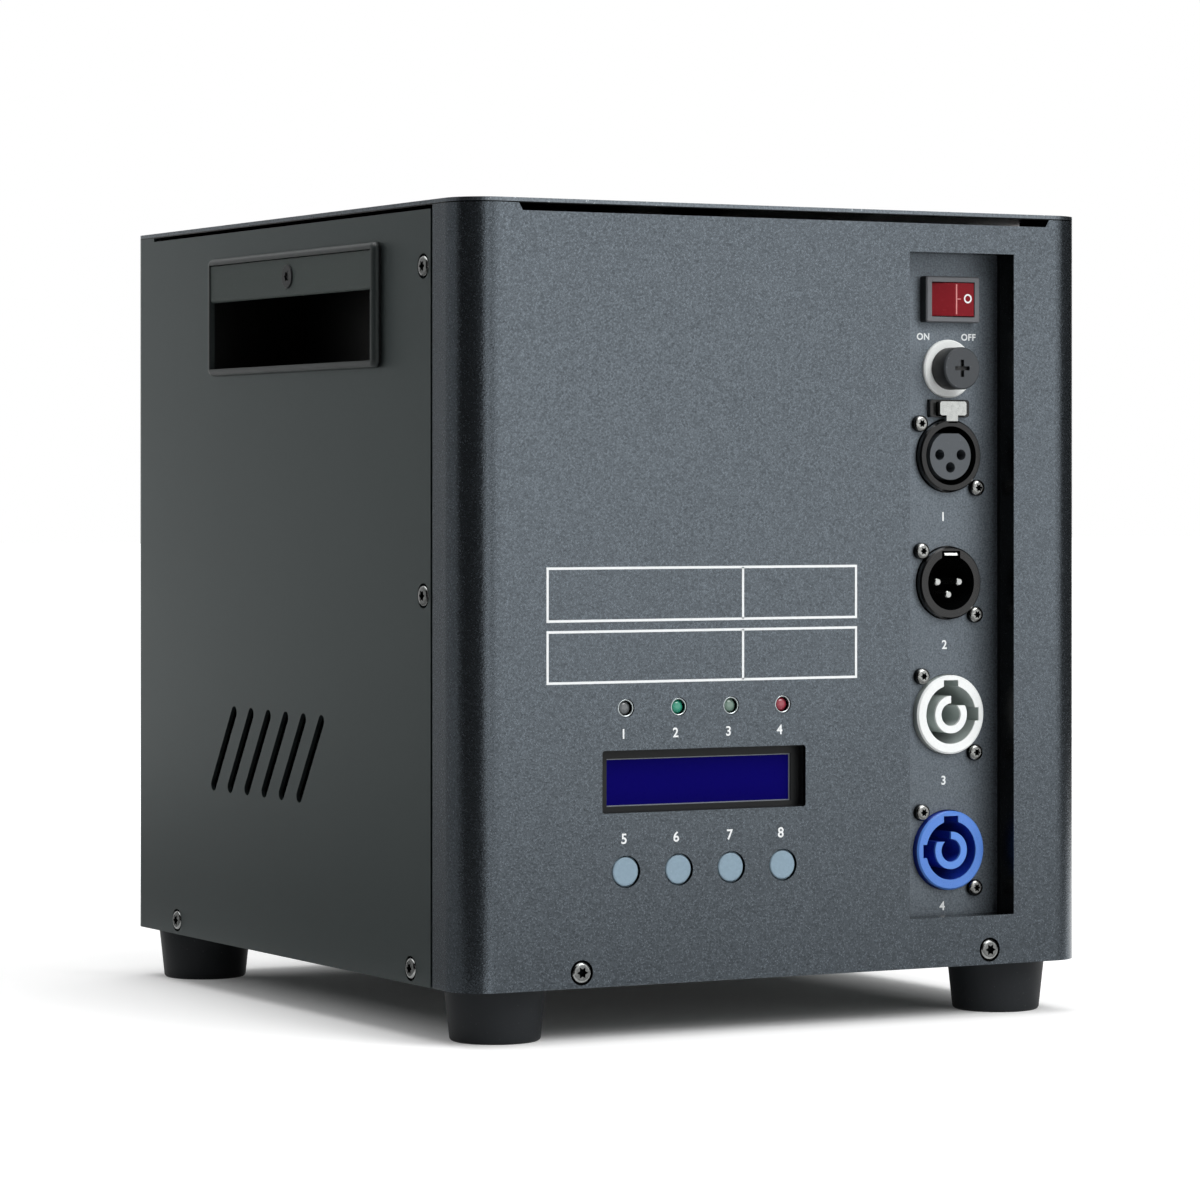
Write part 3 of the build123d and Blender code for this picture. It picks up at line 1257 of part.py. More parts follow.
with BuildPart() as insulation_jacket:
    with BuildSketch(Plane.XY.offset(duct_top_z)):
        with Locations((SPARK_X, SPARK_Y)):
            Circle(JACKET_R)
            Circle(CHAMBER_R + BAND_T + RUN, mode=Mode.SUBTRACT)
    extrude(amount=CHAMBER_H - BAND_MARGIN)
    with BuildSketch(Plane.XZ.offset(-SPARK_Y)):
        with Locations((SPARK_X, FEED_Z)):
            Circle(FEED_TUBE_R + RUN)
    extrude(amount=-JACKET_R, mode=Mode.SUBTRACT)
save(insulation_jacket, "insulation_jacket")

# Spark outlet: tube on the chamber, and the collar on the cover
with BuildPart() as nozzle_tube:
    with BuildSketch(Plane.XY.offset(chamber_top_z)):
        with Locations((SPARK_X, SPARK_Y)):
            Circle(NOZZLE_R)
            Circle(bore_r, mode=Mode.SUBTRACT)
    extrude(amount=TOP_Z - chamber_top_z)
save(nozzle_tube, "nozzle_tube")

with BuildPart() as nozzle_collar:
    with BuildSketch(Plane.XY.offset(TOP_Z)):
        with Locations((SPARK_X, SPARK_Y)):
            Circle(COLLAR_R)
            Circle(bore_r, mode=Mode.SUBTRACT)
            with PolarLocations(COLLAR_SCREW_R, COLLAR_SCREWS):
                Circle(SCREW_SHANK_R + FIT, mode=Mode.SUBTRACT)
    extrude(amount=COLLAR_T)
    rims = nozzle_collar.edges().group_by(Axis.Z)[-1].sort_by(SortBy.RADIUS)
    chamfer(rims[-1], COLLAR_T / 2)
    chamfer(rims[-2], COLLAR_T / 2)
save(nozzle_collar, "nozzle_collar")

# Hopper: rim under the cover, funnel, and the feed tube across its foot
hopper_foot_z = FEED_Z
feed_rear_y = HOPPER_Y + HOPPER_L / 2
with BuildPart() as hopper:
    with BuildSketch(Plane.XY.offset(UNDER_LID_Z)):
        with Locations((SPARK_X, HOPPER_Y)):
            Rectangle(HOPPER_W + 2 * HOPPER_RIM, HOPPER_L + 2 * HOPPER_RIM)
    extrude(amount=-HOPPER_WALL)
    with BuildSketch(Plane.XY.offset(UNDER_LID_Z)):
        with Locations((SPARK_X, HOPPER_Y)):
            Rectangle(HOPPER_W + 2 * HOPPER_WALL, HOPPER_L + 2 * HOPPER_WALL)
    extrude(amount=-HOPPER_STRAIGHT)
    with BuildSketch(Plane.XY.offset(UNDER_LID_Z - HOPPER_STRAIGHT)):
        with Locations((SPARK_X, HOPPER_Y)):
            Rectangle(HOPPER_W + 2 * HOPPER_WALL, HOPPER_L + 2 * HOPPER_WALL)
    with BuildSketch(Plane.XY.offset(hopper_foot_z)):
        with Locations((SPARK_X, HOPPER_Y)):
            Rectangle(HOPPER_FOOT_W + 2 * HOPPER_WALL, HOPPER_FOOT_L + 2 * HOPPER_WALL)
    loft()
    with BuildSketch(Plane.XZ.offset(-feed_rear_y)):
        with Locations((SPARK_X, FEED_Z)):
            Circle(FEED_TUBE_R)
    extrude(amount=feed_rear_y - feed_end_y)
    with BuildSketch(Plane.XZ.offset(-feed_rear_y)):
        with Locations((SPARK_X, FEED_Z)):
            Circle(MOTOR_R)
    extrude(amount=2 * HOPPER_WALL)
    with BuildSketch(Plane.XY.offset(UNDER_LID_Z)):
        with Locations((SPARK_X, HOPPER_Y)):
            Rectangle(HOPPER_W, HOPPER_L)
    extrude(amount=-HOPPER_STRAIGHT, mode=Mode.SUBTRACT)
    with BuildSketch(Plane.XY.offset(UNDER_LID_Z - HOPPER_STRAIGHT)):
        with Locations((SPARK_X, HOPPER_Y)):
            Rectangle(HOPPER_W, HOPPER_L)
    with BuildSketch(Plane.XY.offset(hopper_foot_z)):
        with Locations((SPARK_X, HOPPER_Y)):
            Rectangle(HOPPER_FOOT_W, HOPPER_FOOT_L)
    loft(mode=Mode.SUBTRACT)
    with BuildSketch(Plane.XZ.offset(-feed_rear_y)):
        with Locations((SPARK_X, FEED_Z)):
            Circle(FEED_BORE_R)
    extrude(amount=feed_rear_y - feed_end_y, mode=Mode.SUBTRACT)
save(hopper, "hopper")

# Feed motor on the tube's rear plate
with BuildPart() as feed_motor:
    with BuildSketch(Plane.XZ.offset(-feed_rear_y)):
        with Locations((SPARK_X, FEED_Z)):
            Circle(MOTOR_R)
            Circle(AUGER_SHAFT_R + AUGER_SHAFT_FIT, mode=Mode.SUBTRACT)
    extrude(amount=-MOTOR_L)
    chamfer(feed_motor.faces().sort_by(Axis.Y)[-1].outer_wire().edges(), MOTOR_EDGE)
save(feed_motor, "feed_motor")

# Auger: a flight wound on a core, with a shaft into the motor
auger_rear_y = feed_rear_y - AUGER_FLIGHT_T
auger_l = auger_rear_y - feed_end_y - AUGER_END_GAP
flight_start = Vector(SPARK_X, auger_rear_y, FEED_Z)
winding_r = (AUGER_R + AUGER_CORE_R) / 2
with BuildPart() as feed_auger:
    with BuildSketch(Plane.XZ.offset(RUN - feed_rear_y)):
        with Locations((SPARK_X, FEED_Z)):
            Circle(AUGER_CORE_R)
    extrude(amount=auger_l + AUGER_FLIGHT_T)
    with BuildSketch(Plane.XZ.offset(-feed_rear_y)):
        with Locations((SPARK_X, FEED_Z)):
            Circle(AUGER_SHAFT_R)
    extrude(amount=RUN)
    with BuildSketch(Plane.XZ.offset(-feed_rear_y)):
        with Locations((SPARK_X, FEED_Z)):
            Circle(AUGER_SHAFT_R)
    extrude(amount=-MOTOR_SHAFT_L)
    with BuildLine() as winding:
        Helix(AUGER_PITCH, auger_l, winding_r, center=flight_start, direction=(0, -1, 0))
    outward = ((winding.line @ 0) - flight_start).normalized()
    with BuildSketch(Plane(origin=winding.line @ 0, x_dir=outward, z_dir=winding.line % 0)):
        Rectangle(AUGER_R - AUGER_CORE_R + AUGER_ROOT, AUGER_FLIGHT_T)
    sweep(path=winding.line, is_frenet=True)
save(feed_auger, "feed_auger")

# Hopper lid with a plug rim, a low knob and the middle hinge knuckle
hinge_y = HOPPER_Y + HOPPER_L / 2 + LID_LAP + HINGE_R + RUN
hinge_z = TOP_Z + HINGE_R + SHEET / 2
lid_low_z = TOP_Z + LID_REST
with BuildPart() as hopper_lid:
    with BuildSketch(Plane.XY.offset(lid_low_z)):
        with Locations((SPARK_X, HOPPER_Y)):
            RectangleRounded(HOPPER_W + 2 * LID_LAP, HOPPER_L + 2 * LID_LAP, LID_CORNER_R)
    extrude(amount=LID_T)
    with BuildSketch(Plane.XY.offset(lid_low_z)):
        with Locations((SPARK_X, HOPPER_Y)):
            Rectangle(HOPPER_W - 2 * LID_PLUG_GAP, HOPPER_L - 2 * LID_PLUG_GAP)
            Rectangle(
                HOPPER_W - 2 * LID_PLUG_GAP - 2 * HOPPER_WALL,
                HOPPER_L - 2 * LID_PLUG_GAP - 2 * HOPPER_WALL,
                mode=Mode.SUBTRACT,
            )
    extrude(amount=-LID_PLUG)
    with BuildSketch(Plane.XY.offset(lid_low_z + LID_T)):
        with Locations((SPARK_X, HOPPER_Y)):
            Circle(LID_KNOB_R)
    extrude(amount=LID_KNOB_H)
    fillet(hopper_lid.faces().sort_by(Axis.Z)[-1].edges(), LID_EDGE_R)
    with BuildSketch(across):
        with Locations((hinge_y, hinge_z)):
            Circle(HINGE_R)
        with Locations(((hinge_y + HOPPER_Y + HOPPER_L / 2) / 2, lid_low_z + LID_T / 2)):
            Rectangle(hinge_y - HOPPER_Y - HOPPER_L / 2, LID_T)
        with Locations((hinge_y, hinge_z)):
            Circle(HINGE_PIN_R + HINGE_FIT, mode=Mode.SUBTRACT)
    extrude(amount=HINGE_KNUCKLE / 2 - RUN, both=True)
save(hopper_lid, "hopper_lid")

# Hinge leaf on the cover with two outer knuckles, and the pin through all three
knuckle_x = [SPARK_X - HINGE_KNUCKLE, SPARK_X + HINGE_KNUCKLE]
with BuildPart() as lid_hinge_leaf:
    with BuildSketch(Plane.XY.offset(TOP_Z)):
        with Locations((SPARK_X, hinge_y + HINGE_R + LID_LAP)):
            Rectangle(HINGE_L, 2 * LID_LAP)
    extrude(amount=SHEET)
    for x in knuckle_x:
        with BuildSketch(Plane.YZ.offset(x)):
            with Locations((hinge_y, hinge_z)):
                Circle(HINGE_R)
            with Locations((hinge_y + HINGE_R, TOP_Z + SHEET / 2)):
                Rectangle(2 * HINGE_R, SHEET)
            with Locations((hinge_y, hinge_z)):
                Circle(HINGE_PIN_R + HINGE_FIT, mode=Mode.SUBTRACT)
        extrude(amount=HINGE_KNUCKLE / 2, both=True)
save(lid_hinge_leaf, "lid_hinge_leaf")

with BuildPart() as lid_hinge_pin:
    with BuildSketch(across):
        with Locations((hinge_y, hinge_z)):
            Circle(HINGE_PIN_R)
    extrude(amount=HINGE_L / 2, both=True)
save(lid_hinge_pin, "lid_hinge_pin")

# Cooling fan behind the rear grille: frame with a stator hub, and its rotor
fan_face = Plane.XZ.offset(SHEET - REAR_Y)
with BuildPart() as cooling_fan_frame:
    with BuildSketch(fan_face):
        with Locations((FAN_X, FAN_Z)):
            RectangleRounded(FAN_SIZE, FAN_SIZE, FAN_CORNER_R)
            Circle(FAN_BORE_R, mode=Mode.SUBTRACT)
            with GridLocations(FAN_HOLE_PITCH, FAN_HOLE_PITCH, 2, 2):
                Circle(FAN_HOLE_R, mode=Mode.SUBTRACT)
    extrude(amount=FAN_D)
    with BuildSketch(fan_face):
        with Locations((FAN_X, FAN_Z)):
            Circle(FAN_HUB_R)
            with PolarLocations((FAN_HUB_R + FAN_BORE_R) / 2, 3, start_angle=90):
                Rectangle(FAN_BORE_R - FAN_HUB_R + FAN_STRUT_D, FAN_STRUT_W)
            Circle(FAN_SHAFT_R + FAN_SHAFT_FIT, mode=Mode.SUBTRACT)
    extrude(amount=FAN_STRUT_D)
save(cooling_fan_frame, "cooling_fan_frame")

# One twisted blade, lofted from the hub to the tip, then set round the hub
blade_mid_y = REAR_Y - SHEET - FAN_STRUT_D - RUN - FAN_ROTOR_D / 2
with BuildPart() as fan_blade:
    blade_root = (FAN_HUB_R - FAN_BLADE_T, FAN_BLADE_PITCH)
    blade_tip = (FAN_BORE_R - FAN_TIP_GAP, FAN_BLADE_PITCH - FAN_BLADE_TWIST)
    for radius, pitch in (blade_root, blade_tip):
        start = (FAN_X + radius, blade_mid_y, FAN_Z)
        with BuildSketch(Plane(origin=start, x_dir=(0, 0, 1), z_dir=(1, 0, 0))):
            Rectangle(FAN_BLADE_CHORD, FAN_BLADE_T, rotation=pitch)
    loft()
fan_axis = Axis((FAN_X, 0, FAN_Z), (0, 1, 0))
with BuildPart() as cooling_fan_rotor:
    with BuildSketch(fan_face.offset(FAN_STRUT_D + RUN)):
        with Locations((FAN_X, FAN_Z)):
            Circle(FAN_HUB_R - RUN)
    extrude(amount=FAN_ROTOR_D)
    for i in range(FAN_BLADES):
        add(fan_blade.part.rotate(fan_axis, i * 360 / FAN_BLADES))
    with BuildSketch(fan_face.offset(FAN_STRUT_D + RUN)):
        with Locations((FAN_X, FAN_Z)):
            Circle(FAN_SHAFT_R)
    extrude(amount=-FAN_STRUT_D)
save(cooling_fan_rotor, "cooling_fan_rotor")

# Power supply: slotted metal box on the tray
with BuildPart() as power_supply:
    with BuildSketch(Plane.XY.offset(TRAY_TOP_Z)):
        with Locations((SUPPLY_X, SUPPLY_Y)):
            Rectangle(SUPPLY_W, SUPPLY_D)
    extrude(amount=SUPPLY_H)
    with BuildSketch(Plane.XY.offset(TRAY_TOP_Z + SUPPLY_H)):
        with Locations((SUPPLY_X, SUPPLY_Y)):
            with GridLocations(0, SUPPLY_D / (SUPPLY_SLOTS + 1), 1, SUPPLY_SLOTS):
                Rectangle(SUPPLY_SLOT_L, SUPPLY_SLOT_W)
    extrude(amount=-SUPPLY_SLOT_DEPTH, mode=Mode.SUBTRACT)
save(power_supply, "power_supply")

# Main board on posts on the left side, with heat sink and capacitors
wall = Plane(origin=(SHEET - SIDE_X, MAIN_Y, MAIN_Z), x_dir=(0, 1, 0), z_dir=(1, 0, 0))
with BuildPart() as main_board:
    with BuildSketch(wall):
        with GridLocations(MAIN_W - 4 * MAIN_POST_R, MAIN_H - 4 * MAIN_POST_R, 2, 2):
            Circle(MAIN_POST_R)
    extrude(amount=MAIN_POST)
    with BuildSketch(wall.offset(MAIN_POST)):
        Rectangle(MAIN_W, MAIN_H)
    extrude(amount=BOARD_T)
    with BuildSketch(wall.offset(MAIN_POST + BOARD_T)):
        with Locations((-MAIN_W / 5, 0)):
            with GridLocations(MAIN_FIN_PITCH, 0, MAIN_FINS, 1):
                Rectangle(MAIN_FIN_T, MAIN_H / 2)
        with Locations((MAIN_W / 5, MAIN_H / 5), (MAIN_W / 5, -MAIN_H / 5)):
            Circle(MAIN_CAN_R)
    extrude(amount=MAIN_CAN_H)
save(main_board, "main_board")
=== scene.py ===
# %% [markdown]
# # A cold spark machine, dressed in Blender
#
# The CAD model already has every sheet, socket, button and screw in its place.
# This notebook gives each of them the surface it has on the real machine, with shade painted
# into holes, recesses and the sides of some parts, adds the thin things that CAD leaves out,
# such as printed lines, numbers and a few painted highlights, and lights it all.
# All lengths are in metres, in the same frame as the CAD, so nothing needs fitting.

from math import pi

import bpy
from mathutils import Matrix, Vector


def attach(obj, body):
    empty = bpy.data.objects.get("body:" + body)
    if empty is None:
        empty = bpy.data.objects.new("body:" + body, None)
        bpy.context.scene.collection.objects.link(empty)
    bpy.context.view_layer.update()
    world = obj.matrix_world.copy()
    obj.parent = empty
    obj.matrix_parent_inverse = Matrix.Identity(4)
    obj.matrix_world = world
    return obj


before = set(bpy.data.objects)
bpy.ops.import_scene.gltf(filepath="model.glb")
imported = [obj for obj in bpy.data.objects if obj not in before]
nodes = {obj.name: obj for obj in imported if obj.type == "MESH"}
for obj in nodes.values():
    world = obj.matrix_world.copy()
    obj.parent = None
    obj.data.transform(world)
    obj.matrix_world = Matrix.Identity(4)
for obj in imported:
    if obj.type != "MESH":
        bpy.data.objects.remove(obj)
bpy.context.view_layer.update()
print("CAD nodes:", len(nodes))

# %% [markdown]
# ## Places on the front
#
# Distances on the machine are easiest to read from the lower left corner of its casing,
# in millimetres, with depth counted from the front sheet inwards. One helper turns such
# a place into a point of the frame.

# %% From casing millimetres to frame metres
MM = 0.001
CASE_W = 222.0
FOOT_H = 16.5
FRONT_Y = -124.0
PLATE_DEPTH = 12.0


def spot(x, z, depth=0.0):
    """A point given in millimetres from the casing's lower left front corner."""
    return Vector(((x - CASE_W / 2) * MM, (FRONT_Y + depth) * MM, (z + FOOT_H) * MM))


print("lower left corner:", spot(0, 0))

# %% [markdown]
# ## The camera
#
# The photograph was taken level with the lower middle of the machine, from its left, with
# a long lens. The camera looks level, so upright edges stay upright, and a small shift of
# the lens moves the picture without tilting it.

# %% Camera at the photograph's place
SENSOR_WIDTH = 36.0
FOCAL_LENGTH = 137.6
LENS_SHIFT = -0.0909
CAMERA_PLACE = (-0.7226, -1.3311, 0.1653)
CAMERA_LOOK = (0.478, 0.878, 0.0)
camera_data = bpy.data.cameras.new("photo_camera")
camera_data.sensor_width = SENSOR_WIDTH
camera_data.lens = FOCAL_LENGTH
camera_data.shift_y = LENS_SHIFT
camera = bpy.data.objects.new("photo_camera", camera_data)
bpy.context.scene.collection.objects.link(camera)
camera.location = CAMERA_PLACE
camera.rotation_euler = Vector(CAMERA_LOOK).to_track_quat("-Z", "Y").to_euler()
bpy.context.scene.camera = camera
bpy.context.scene.view_settings.view_transform = "Standard"
print("camera at", tuple(round(v, 3) for v in camera.location))

# %% [markdown]
# ## Building materials from nodes
#
# Each material is a Principled shader fed by a few shared effects. An effect is a node
# group with named inputs and outputs, so the same grain can be coarse on powder coat and
# fine on moulded plastic. These helpers only save typing.

# %% Small helpers for shader nodes


def linear(red, green, blue):
    """A colour as a picture stores it, 0 to 255, as the shader's linear colour."""
    out = []
    for value in (red, green, blue):
        value /= 255.0
        out.append(value / 12.92 if value <= 0.04045 else ((value + 0.055) / 1.055) ** 2.4)
    return (*out, 1.0)


def add_node(tree, kind, **settings):
    """A new node with its settings."""
    node = tree.nodes.new(kind)
    for key, value in settings.items():
        setattr(node, key, value)
    return node


def feed(tree, socket, value):
    """A socket is joined to another socket, or takes a plain value."""
    if isinstance(value, bpy.types.NodeSocket):
        tree.links.new(value, socket)
    else:
        socket.default_value = value


def math_node(tree, operation, *values):
    """A Math node; numbers are written in, sockets are joined."""
    node = add_node(tree, "ShaderNodeMath", operation=operation)
    for slot, value in enumerate(values):
        feed(tree, node.inputs[slot], value)
    return node.outputs[0]


def vector_node(tree, operation, *values):
    """A Vector Math node."""
    node = add_node(tree, "ShaderNodeVectorMath", operation=operation)
    for slot, value in enumerate(values):
        feed(tree, node.inputs[slot], value)
    return node.outputs["Vector"]


def mix_colour(tree, factor, first, second):
    """Mixes two colours, each a socket or four numbers."""
    node = add_node(tree, "ShaderNodeMix", data_type="RGBA")
    for name, value in (("Factor_Float", factor), ("A_Color", first), ("B_Color", second)):
        feed(tree, next(s for s in node.inputs if s.identifier == name), value)
    return next(s for s in node.outputs if s.identifier == "Result_Color")


def noise(tree, vector, scale, detail=3.0):
    """A Noise texture on the given coordinates; scale is a number or a socket."""
    node = add_node(tree, "ShaderNodeTexNoise")
    node.inputs["Detail"].default_value = detail
    feed(tree, node.inputs["Vector"], vector)
    feed(tree, node.inputs["Scale"], scale)
    return node.outputs["Fac"]


def new_group(name, inputs, outputs):
    """An empty node group with named sockets. Returns the tree, its inputs and outputs."""
    tree = bpy.data.node_groups.new(name, "ShaderNodeTree")
    for label, kind, value in inputs:
        socket = tree.interface.new_socket(label, in_out="INPUT", socket_type="NodeSocket" + kind)
        socket.default_value = value
    for label, kind in outputs:
        tree.interface.new_socket(label, in_out="OUTPUT", socket_type="NodeSocket" + kind)
    return tree, add_node(tree, "NodeGroupInput"), add_node(tree, "NodeGroupOutput")


print("helpers ready")

# %% [markdown]
# ## Powder coat
#
# The casing is sprayed with dry paint powder and baked. Close up it is a fine orange peel,
# light and dark by turns, with a few bright grains, and over a whole panel its tone drifts
# a little. The group takes the grain's fineness and strength and gives a colour, a
# roughness and a height for the bump.

# %% Group: powder grain
DRIFT_SCALE = 14.0
FLECK_REACH = 0.42
ROUGH_SWING = 0.16
grain_tree, grain_in, grain_out = new_group(
    "powder_grain",
    [
        ("Color", "Color", (0.1, 0.1, 0.1, 1)),
        ("Fleck Color", "Color", (0.5, 0.5, 0.5, 1)),
        ("Fineness", "Float", 1500.0),
        ("Fleck Share", "Float", 0.1),
        ("Contrast", "Float", 0.5),
        ("Drift", "Float", 0.1),
        ("Roughness", "Float", 0.5),
    ],
    [("Color", "Color"), ("Roughness", "Float"), ("Height", "Float")],
)
place = add_node(grain_tree, "ShaderNodeTexCoord").outputs["Object"]
fine = noise(grain_tree, place, grain_in.outputs["Fineness"])
broad = noise(grain_tree, place, DRIFT_SCALE, detail=2.0)
cells = add_node(grain_tree, "ShaderNodeTexVoronoi")
feed(grain_tree, cells.inputs["Vector"], place)
feed(grain_tree, cells.inputs["Scale"], grain_in.outputs["Fineness"])
cell_tone = add_node(grain_tree, "ShaderNodeSeparateColor")
feed(grain_tree, cell_tone.inputs[0], cells.outputs["Color"])
threshold = math_node(grain_tree, "SUBTRACT", 1.0, grain_in.outputs["Fleck Share"])
chosen = math_node(grain_tree, "GREATER_THAN", cell_tone.outputs[0], threshold)
near = math_node(grain_tree, "LESS_THAN", cells.outputs["Distance"], FLECK_REACH)
fleck = math_node(grain_tree, "MULTIPLY", chosen, near)
fleck = math_node(grain_tree, "MULTIPLY", fleck, cell_tone.outputs[1])
swing = math_node(grain_tree, "SUBTRACT", broad, 0.5)
swing = math_node(grain_tree, "MULTIPLY", swing, grain_in.outputs["Drift"])
ripple = math_node(grain_tree, "SUBTRACT", fine, 0.5)
ripple = math_node(grain_tree, "MULTIPLY", ripple, grain_in.outputs["Contrast"])
tone = math_node(grain_tree, "ADD", math_node(grain_tree, "ADD", ripple, swing), 1.0)
toned = add_node(grain_tree, "ShaderNodeVectorMath", operation="SCALE")
feed(grain_tree, toned.inputs[0], grain_in.outputs["Color"])
feed(grain_tree, toned.inputs["Scale"], tone)
speckled = mix_colour(grain_tree, fleck, toned.outputs[0], grain_in.outputs["Fleck Color"])
feed(grain_tree, grain_out.inputs["Color"], speckled)
rough = math_node(grain_tree, "MULTIPLY_ADD", fine, ROUGH_SWING, -ROUGH_SWING / 2)
rough = math_node(grain_tree, "ADD", rough, grain_in.outputs["Roughness"])
feed(grain_tree, grain_out.inputs["Roughness"], rough)
feed(grain_tree, grain_out.inputs["Height"], fine)
print("powder grain group has", len(grain_tree.nodes), "nodes")

# %% [markdown]
# ## Box mask
#
# Some pieces change colour by place, mostly for painted shade: the edges of the holes in the
# front sheet are painted black as shade, and the side of a moulded cap is painted darker than
# its face as shade. The mask is one inside a box of the frame and nothing outside it.

# %% Group: box mask
mask_tree, mask_in, mask_out = new_group(
    "box_mask",
    [("Low", "Vector", (0, 0, 0)), ("High", "Vector", (1, 1, 1))],
    [("Mask", "Float")],
)
place = add_node(mask_tree, "ShaderNodeTexCoord").outputs["Object"]
above = vector_node(mask_tree, "SUBTRACT", place, mask_in.outputs["Low"])
below = vector_node(mask_tree, "SUBTRACT", mask_in.outputs["High"], place)
split = add_node(mask_tree, "ShaderNodeSeparateXYZ")
feed(mask_tree, split.inputs[0], vector_node(mask_tree, "MINIMUM", above, below))
least = math_node(mask_tree, "MINIMUM", split.outputs[0], split.outputs[1])
least = math_node(mask_tree, "MINIMUM", least, split.outputs[2])
feed(mask_tree, mask_out.inputs["Mask"], math_node(mask_tree, "GREATER_THAN", least, 0.0))
print("box mask group has", len(mask_tree.nodes), "nodes")

# %% [markdown]
# ## One maker for most finishes
#
# Paint, rubber, moulded plastic and bare metal differ in their numbers more than in their
# build: how fine the grain is, how many flecks shine out, how rough and how metallic.
# Numbers that are the same all over sit on the shader's own sockets.

# %% Finish from the grain group
BUMP_DEPTH = 0.0002
FAR = 500


def finish(name, colour, fleck=None, **numbers):
    """A material with grain, flecks and bump. Colours are 0 to 255."""
    plain = {"fineness": 1500.0, "share": 0.0, "contrast": 0.3, "drift": 0.1, "rough": 0.5}
    plain.update({"bump": 0.1, "metallic": 0.0, "coat": 0.0, "shine": 0.5})
    plain.update(numbers)
    material = bpy.data.materials.new(name)
    material.use_nodes = True
    tree = material.node_tree
    shader = tree.nodes["Principled BSDF"]
    group = add_node(tree, "ShaderNodeGroup", node_tree=grain_tree)
    group.inputs["Color"].default_value = linear(*colour)
    group.inputs["Fleck Color"].default_value = linear(*(fleck or colour))
    group.inputs["Fineness"].default_value = plain["fineness"]
    group.inputs["Fleck Share"].default_value = plain["share"]
    group.inputs["Contrast"].default_value = plain["contrast"]
    group.inputs["Drift"].default_value = plain["drift"]
    group.inputs["Roughness"].default_value = plain["rough"]
    tree.links.new(group.outputs["Color"], shader.inputs["Base Color"])
    tree.links.new(group.outputs["Roughness"], shader.inputs["Roughness"])
    bump_node = add_node(tree, "ShaderNodeBump")
    bump_node.inputs["Strength"].default_value = plain["bump"]
    bump_node.inputs["Distance"].default_value = BUMP_DEPTH
    tree.links.new(group.outputs["Height"], bump_node.inputs["Height"])
    tree.links.new(bump_node.outputs["Normal"], shader.inputs["Normal"])
    shader.inputs["Metallic"].default_value = plain["metallic"]
    shader.inputs["Coat Weight"].default_value = plain["coat"]
    shader.inputs["Specular IOR Level"].default_value = plain["shine"]
    return material


def inside_box(material, low, high, colour):
    """Inside a box of the frame, in millimetres, the material has another colour."""
    tree = material.node_tree
    shader = tree.nodes["Principled BSDF"]
    shown = shader.inputs["Base Color"].links[0].from_socket
    mask = add_node(tree, "ShaderNodeGroup", node_tree=mask_tree)
    mask.inputs["Low"].default_value = Vector(low) * MM
    mask.inputs["High"].default_value = Vector(high) * MM
    mixed = mix_colour(tree, mask.outputs["Mask"], shown, linear(*colour))
    tree.links.new(mixed, shader.inputs["Base Color"])
    return material


def deeper(material, edge, colour):
    """Behind a depth of the frame's Y, in millimetres, the material has another colour."""
    return inside_box(material, (-FAR, edge, -FAR), (FAR, FAR, FAR), colour)


def dress(material, *names):
    """The material takes the place of what the CAD nodes came with."""
    for name in names:
        nodes[name].data.materials.clear()
        nodes[name].data.materials.append(material)


# %% [markdown]
# ## Painted sheets
#
# The front sheet and the socket plate wear the coarse, bluish coat, the rear shell a
# smoother, darker one, and the cover the palest, with the most flecks. All are metallic
# paints, so much of what they show is what they mirror. Painted shade: the cut edges of the
# sheets, the walls of the socket recess, the forward rim of the socket plate, the inner faces
# and a thin line under the cover's rim are painted near black.

# %% Paint the sheets
# Painted shade: inside each of these boxes the paint takes the near-black SHADOW colour.
SHADOW = (9, 11, 12)
FRONT_CUTS = ((-98, -123.85, 17), (98, -121, 252))
RECESS_WALLS = ((42, -123.85, 30), (85, -115, 242))
SHELL_INSIDE = ((-109.6, -122.6, 17), (109.6, 122.6, 250.9))
COVER_UNDERSIDE = ((-FAR, -FAR, 250), (FAR, FAR, 251.35))
PLATE_RIM = ((-FAR, -FAR, -FAR), (FAR, -112.1, FAR))
front_paint = finish(
    "front_powder", (91, 98, 104), (115, 122, 128),
    fineness=1900, share=0.012, contrast=2.0, rough=0.25, bump=0.3, metallic=0.9,
)
inside_box(front_paint, *FRONT_CUTS, SHADOW)
inside_box(front_paint, *RECESS_WALLS, SHADOW)
side_paint = finish(
    "side_powder", (74, 83, 83), (86, 94, 93),
    fineness=2600, share=0.02, contrast=0.3, rough=0.36, bump=0.08, metallic=0.9,
)
inside_box(side_paint, *SHELL_INSIDE, SHADOW)
cover_paint = finish(
    "cover_powder", (108, 115, 121), (160, 167, 172),
    fineness=1500, share=0.12, contrast=1.4, rough=0.3, bump=0.3, metallic=0.9,
)
inside_box(cover_paint, *COVER_UNDERSIDE, SHADOW)
plate_paint = finish(
    "plate_powder", (103, 111, 118), (122, 129, 135),
    fineness=1900, share=0.012, contrast=1.8, rough=0.45, bump=0.3, metallic=0.7,
)
inside_box(plate_paint, *PLATE_RIM, SHADOW)
dress(front_paint, "front_casing")
dress(side_paint, "rear_shell", "floor_tray", "lid_hinge_leaf")
dress(cover_paint, "top_cover")
dress(plate_paint, "socket_plate")
print("sheet metal painted")
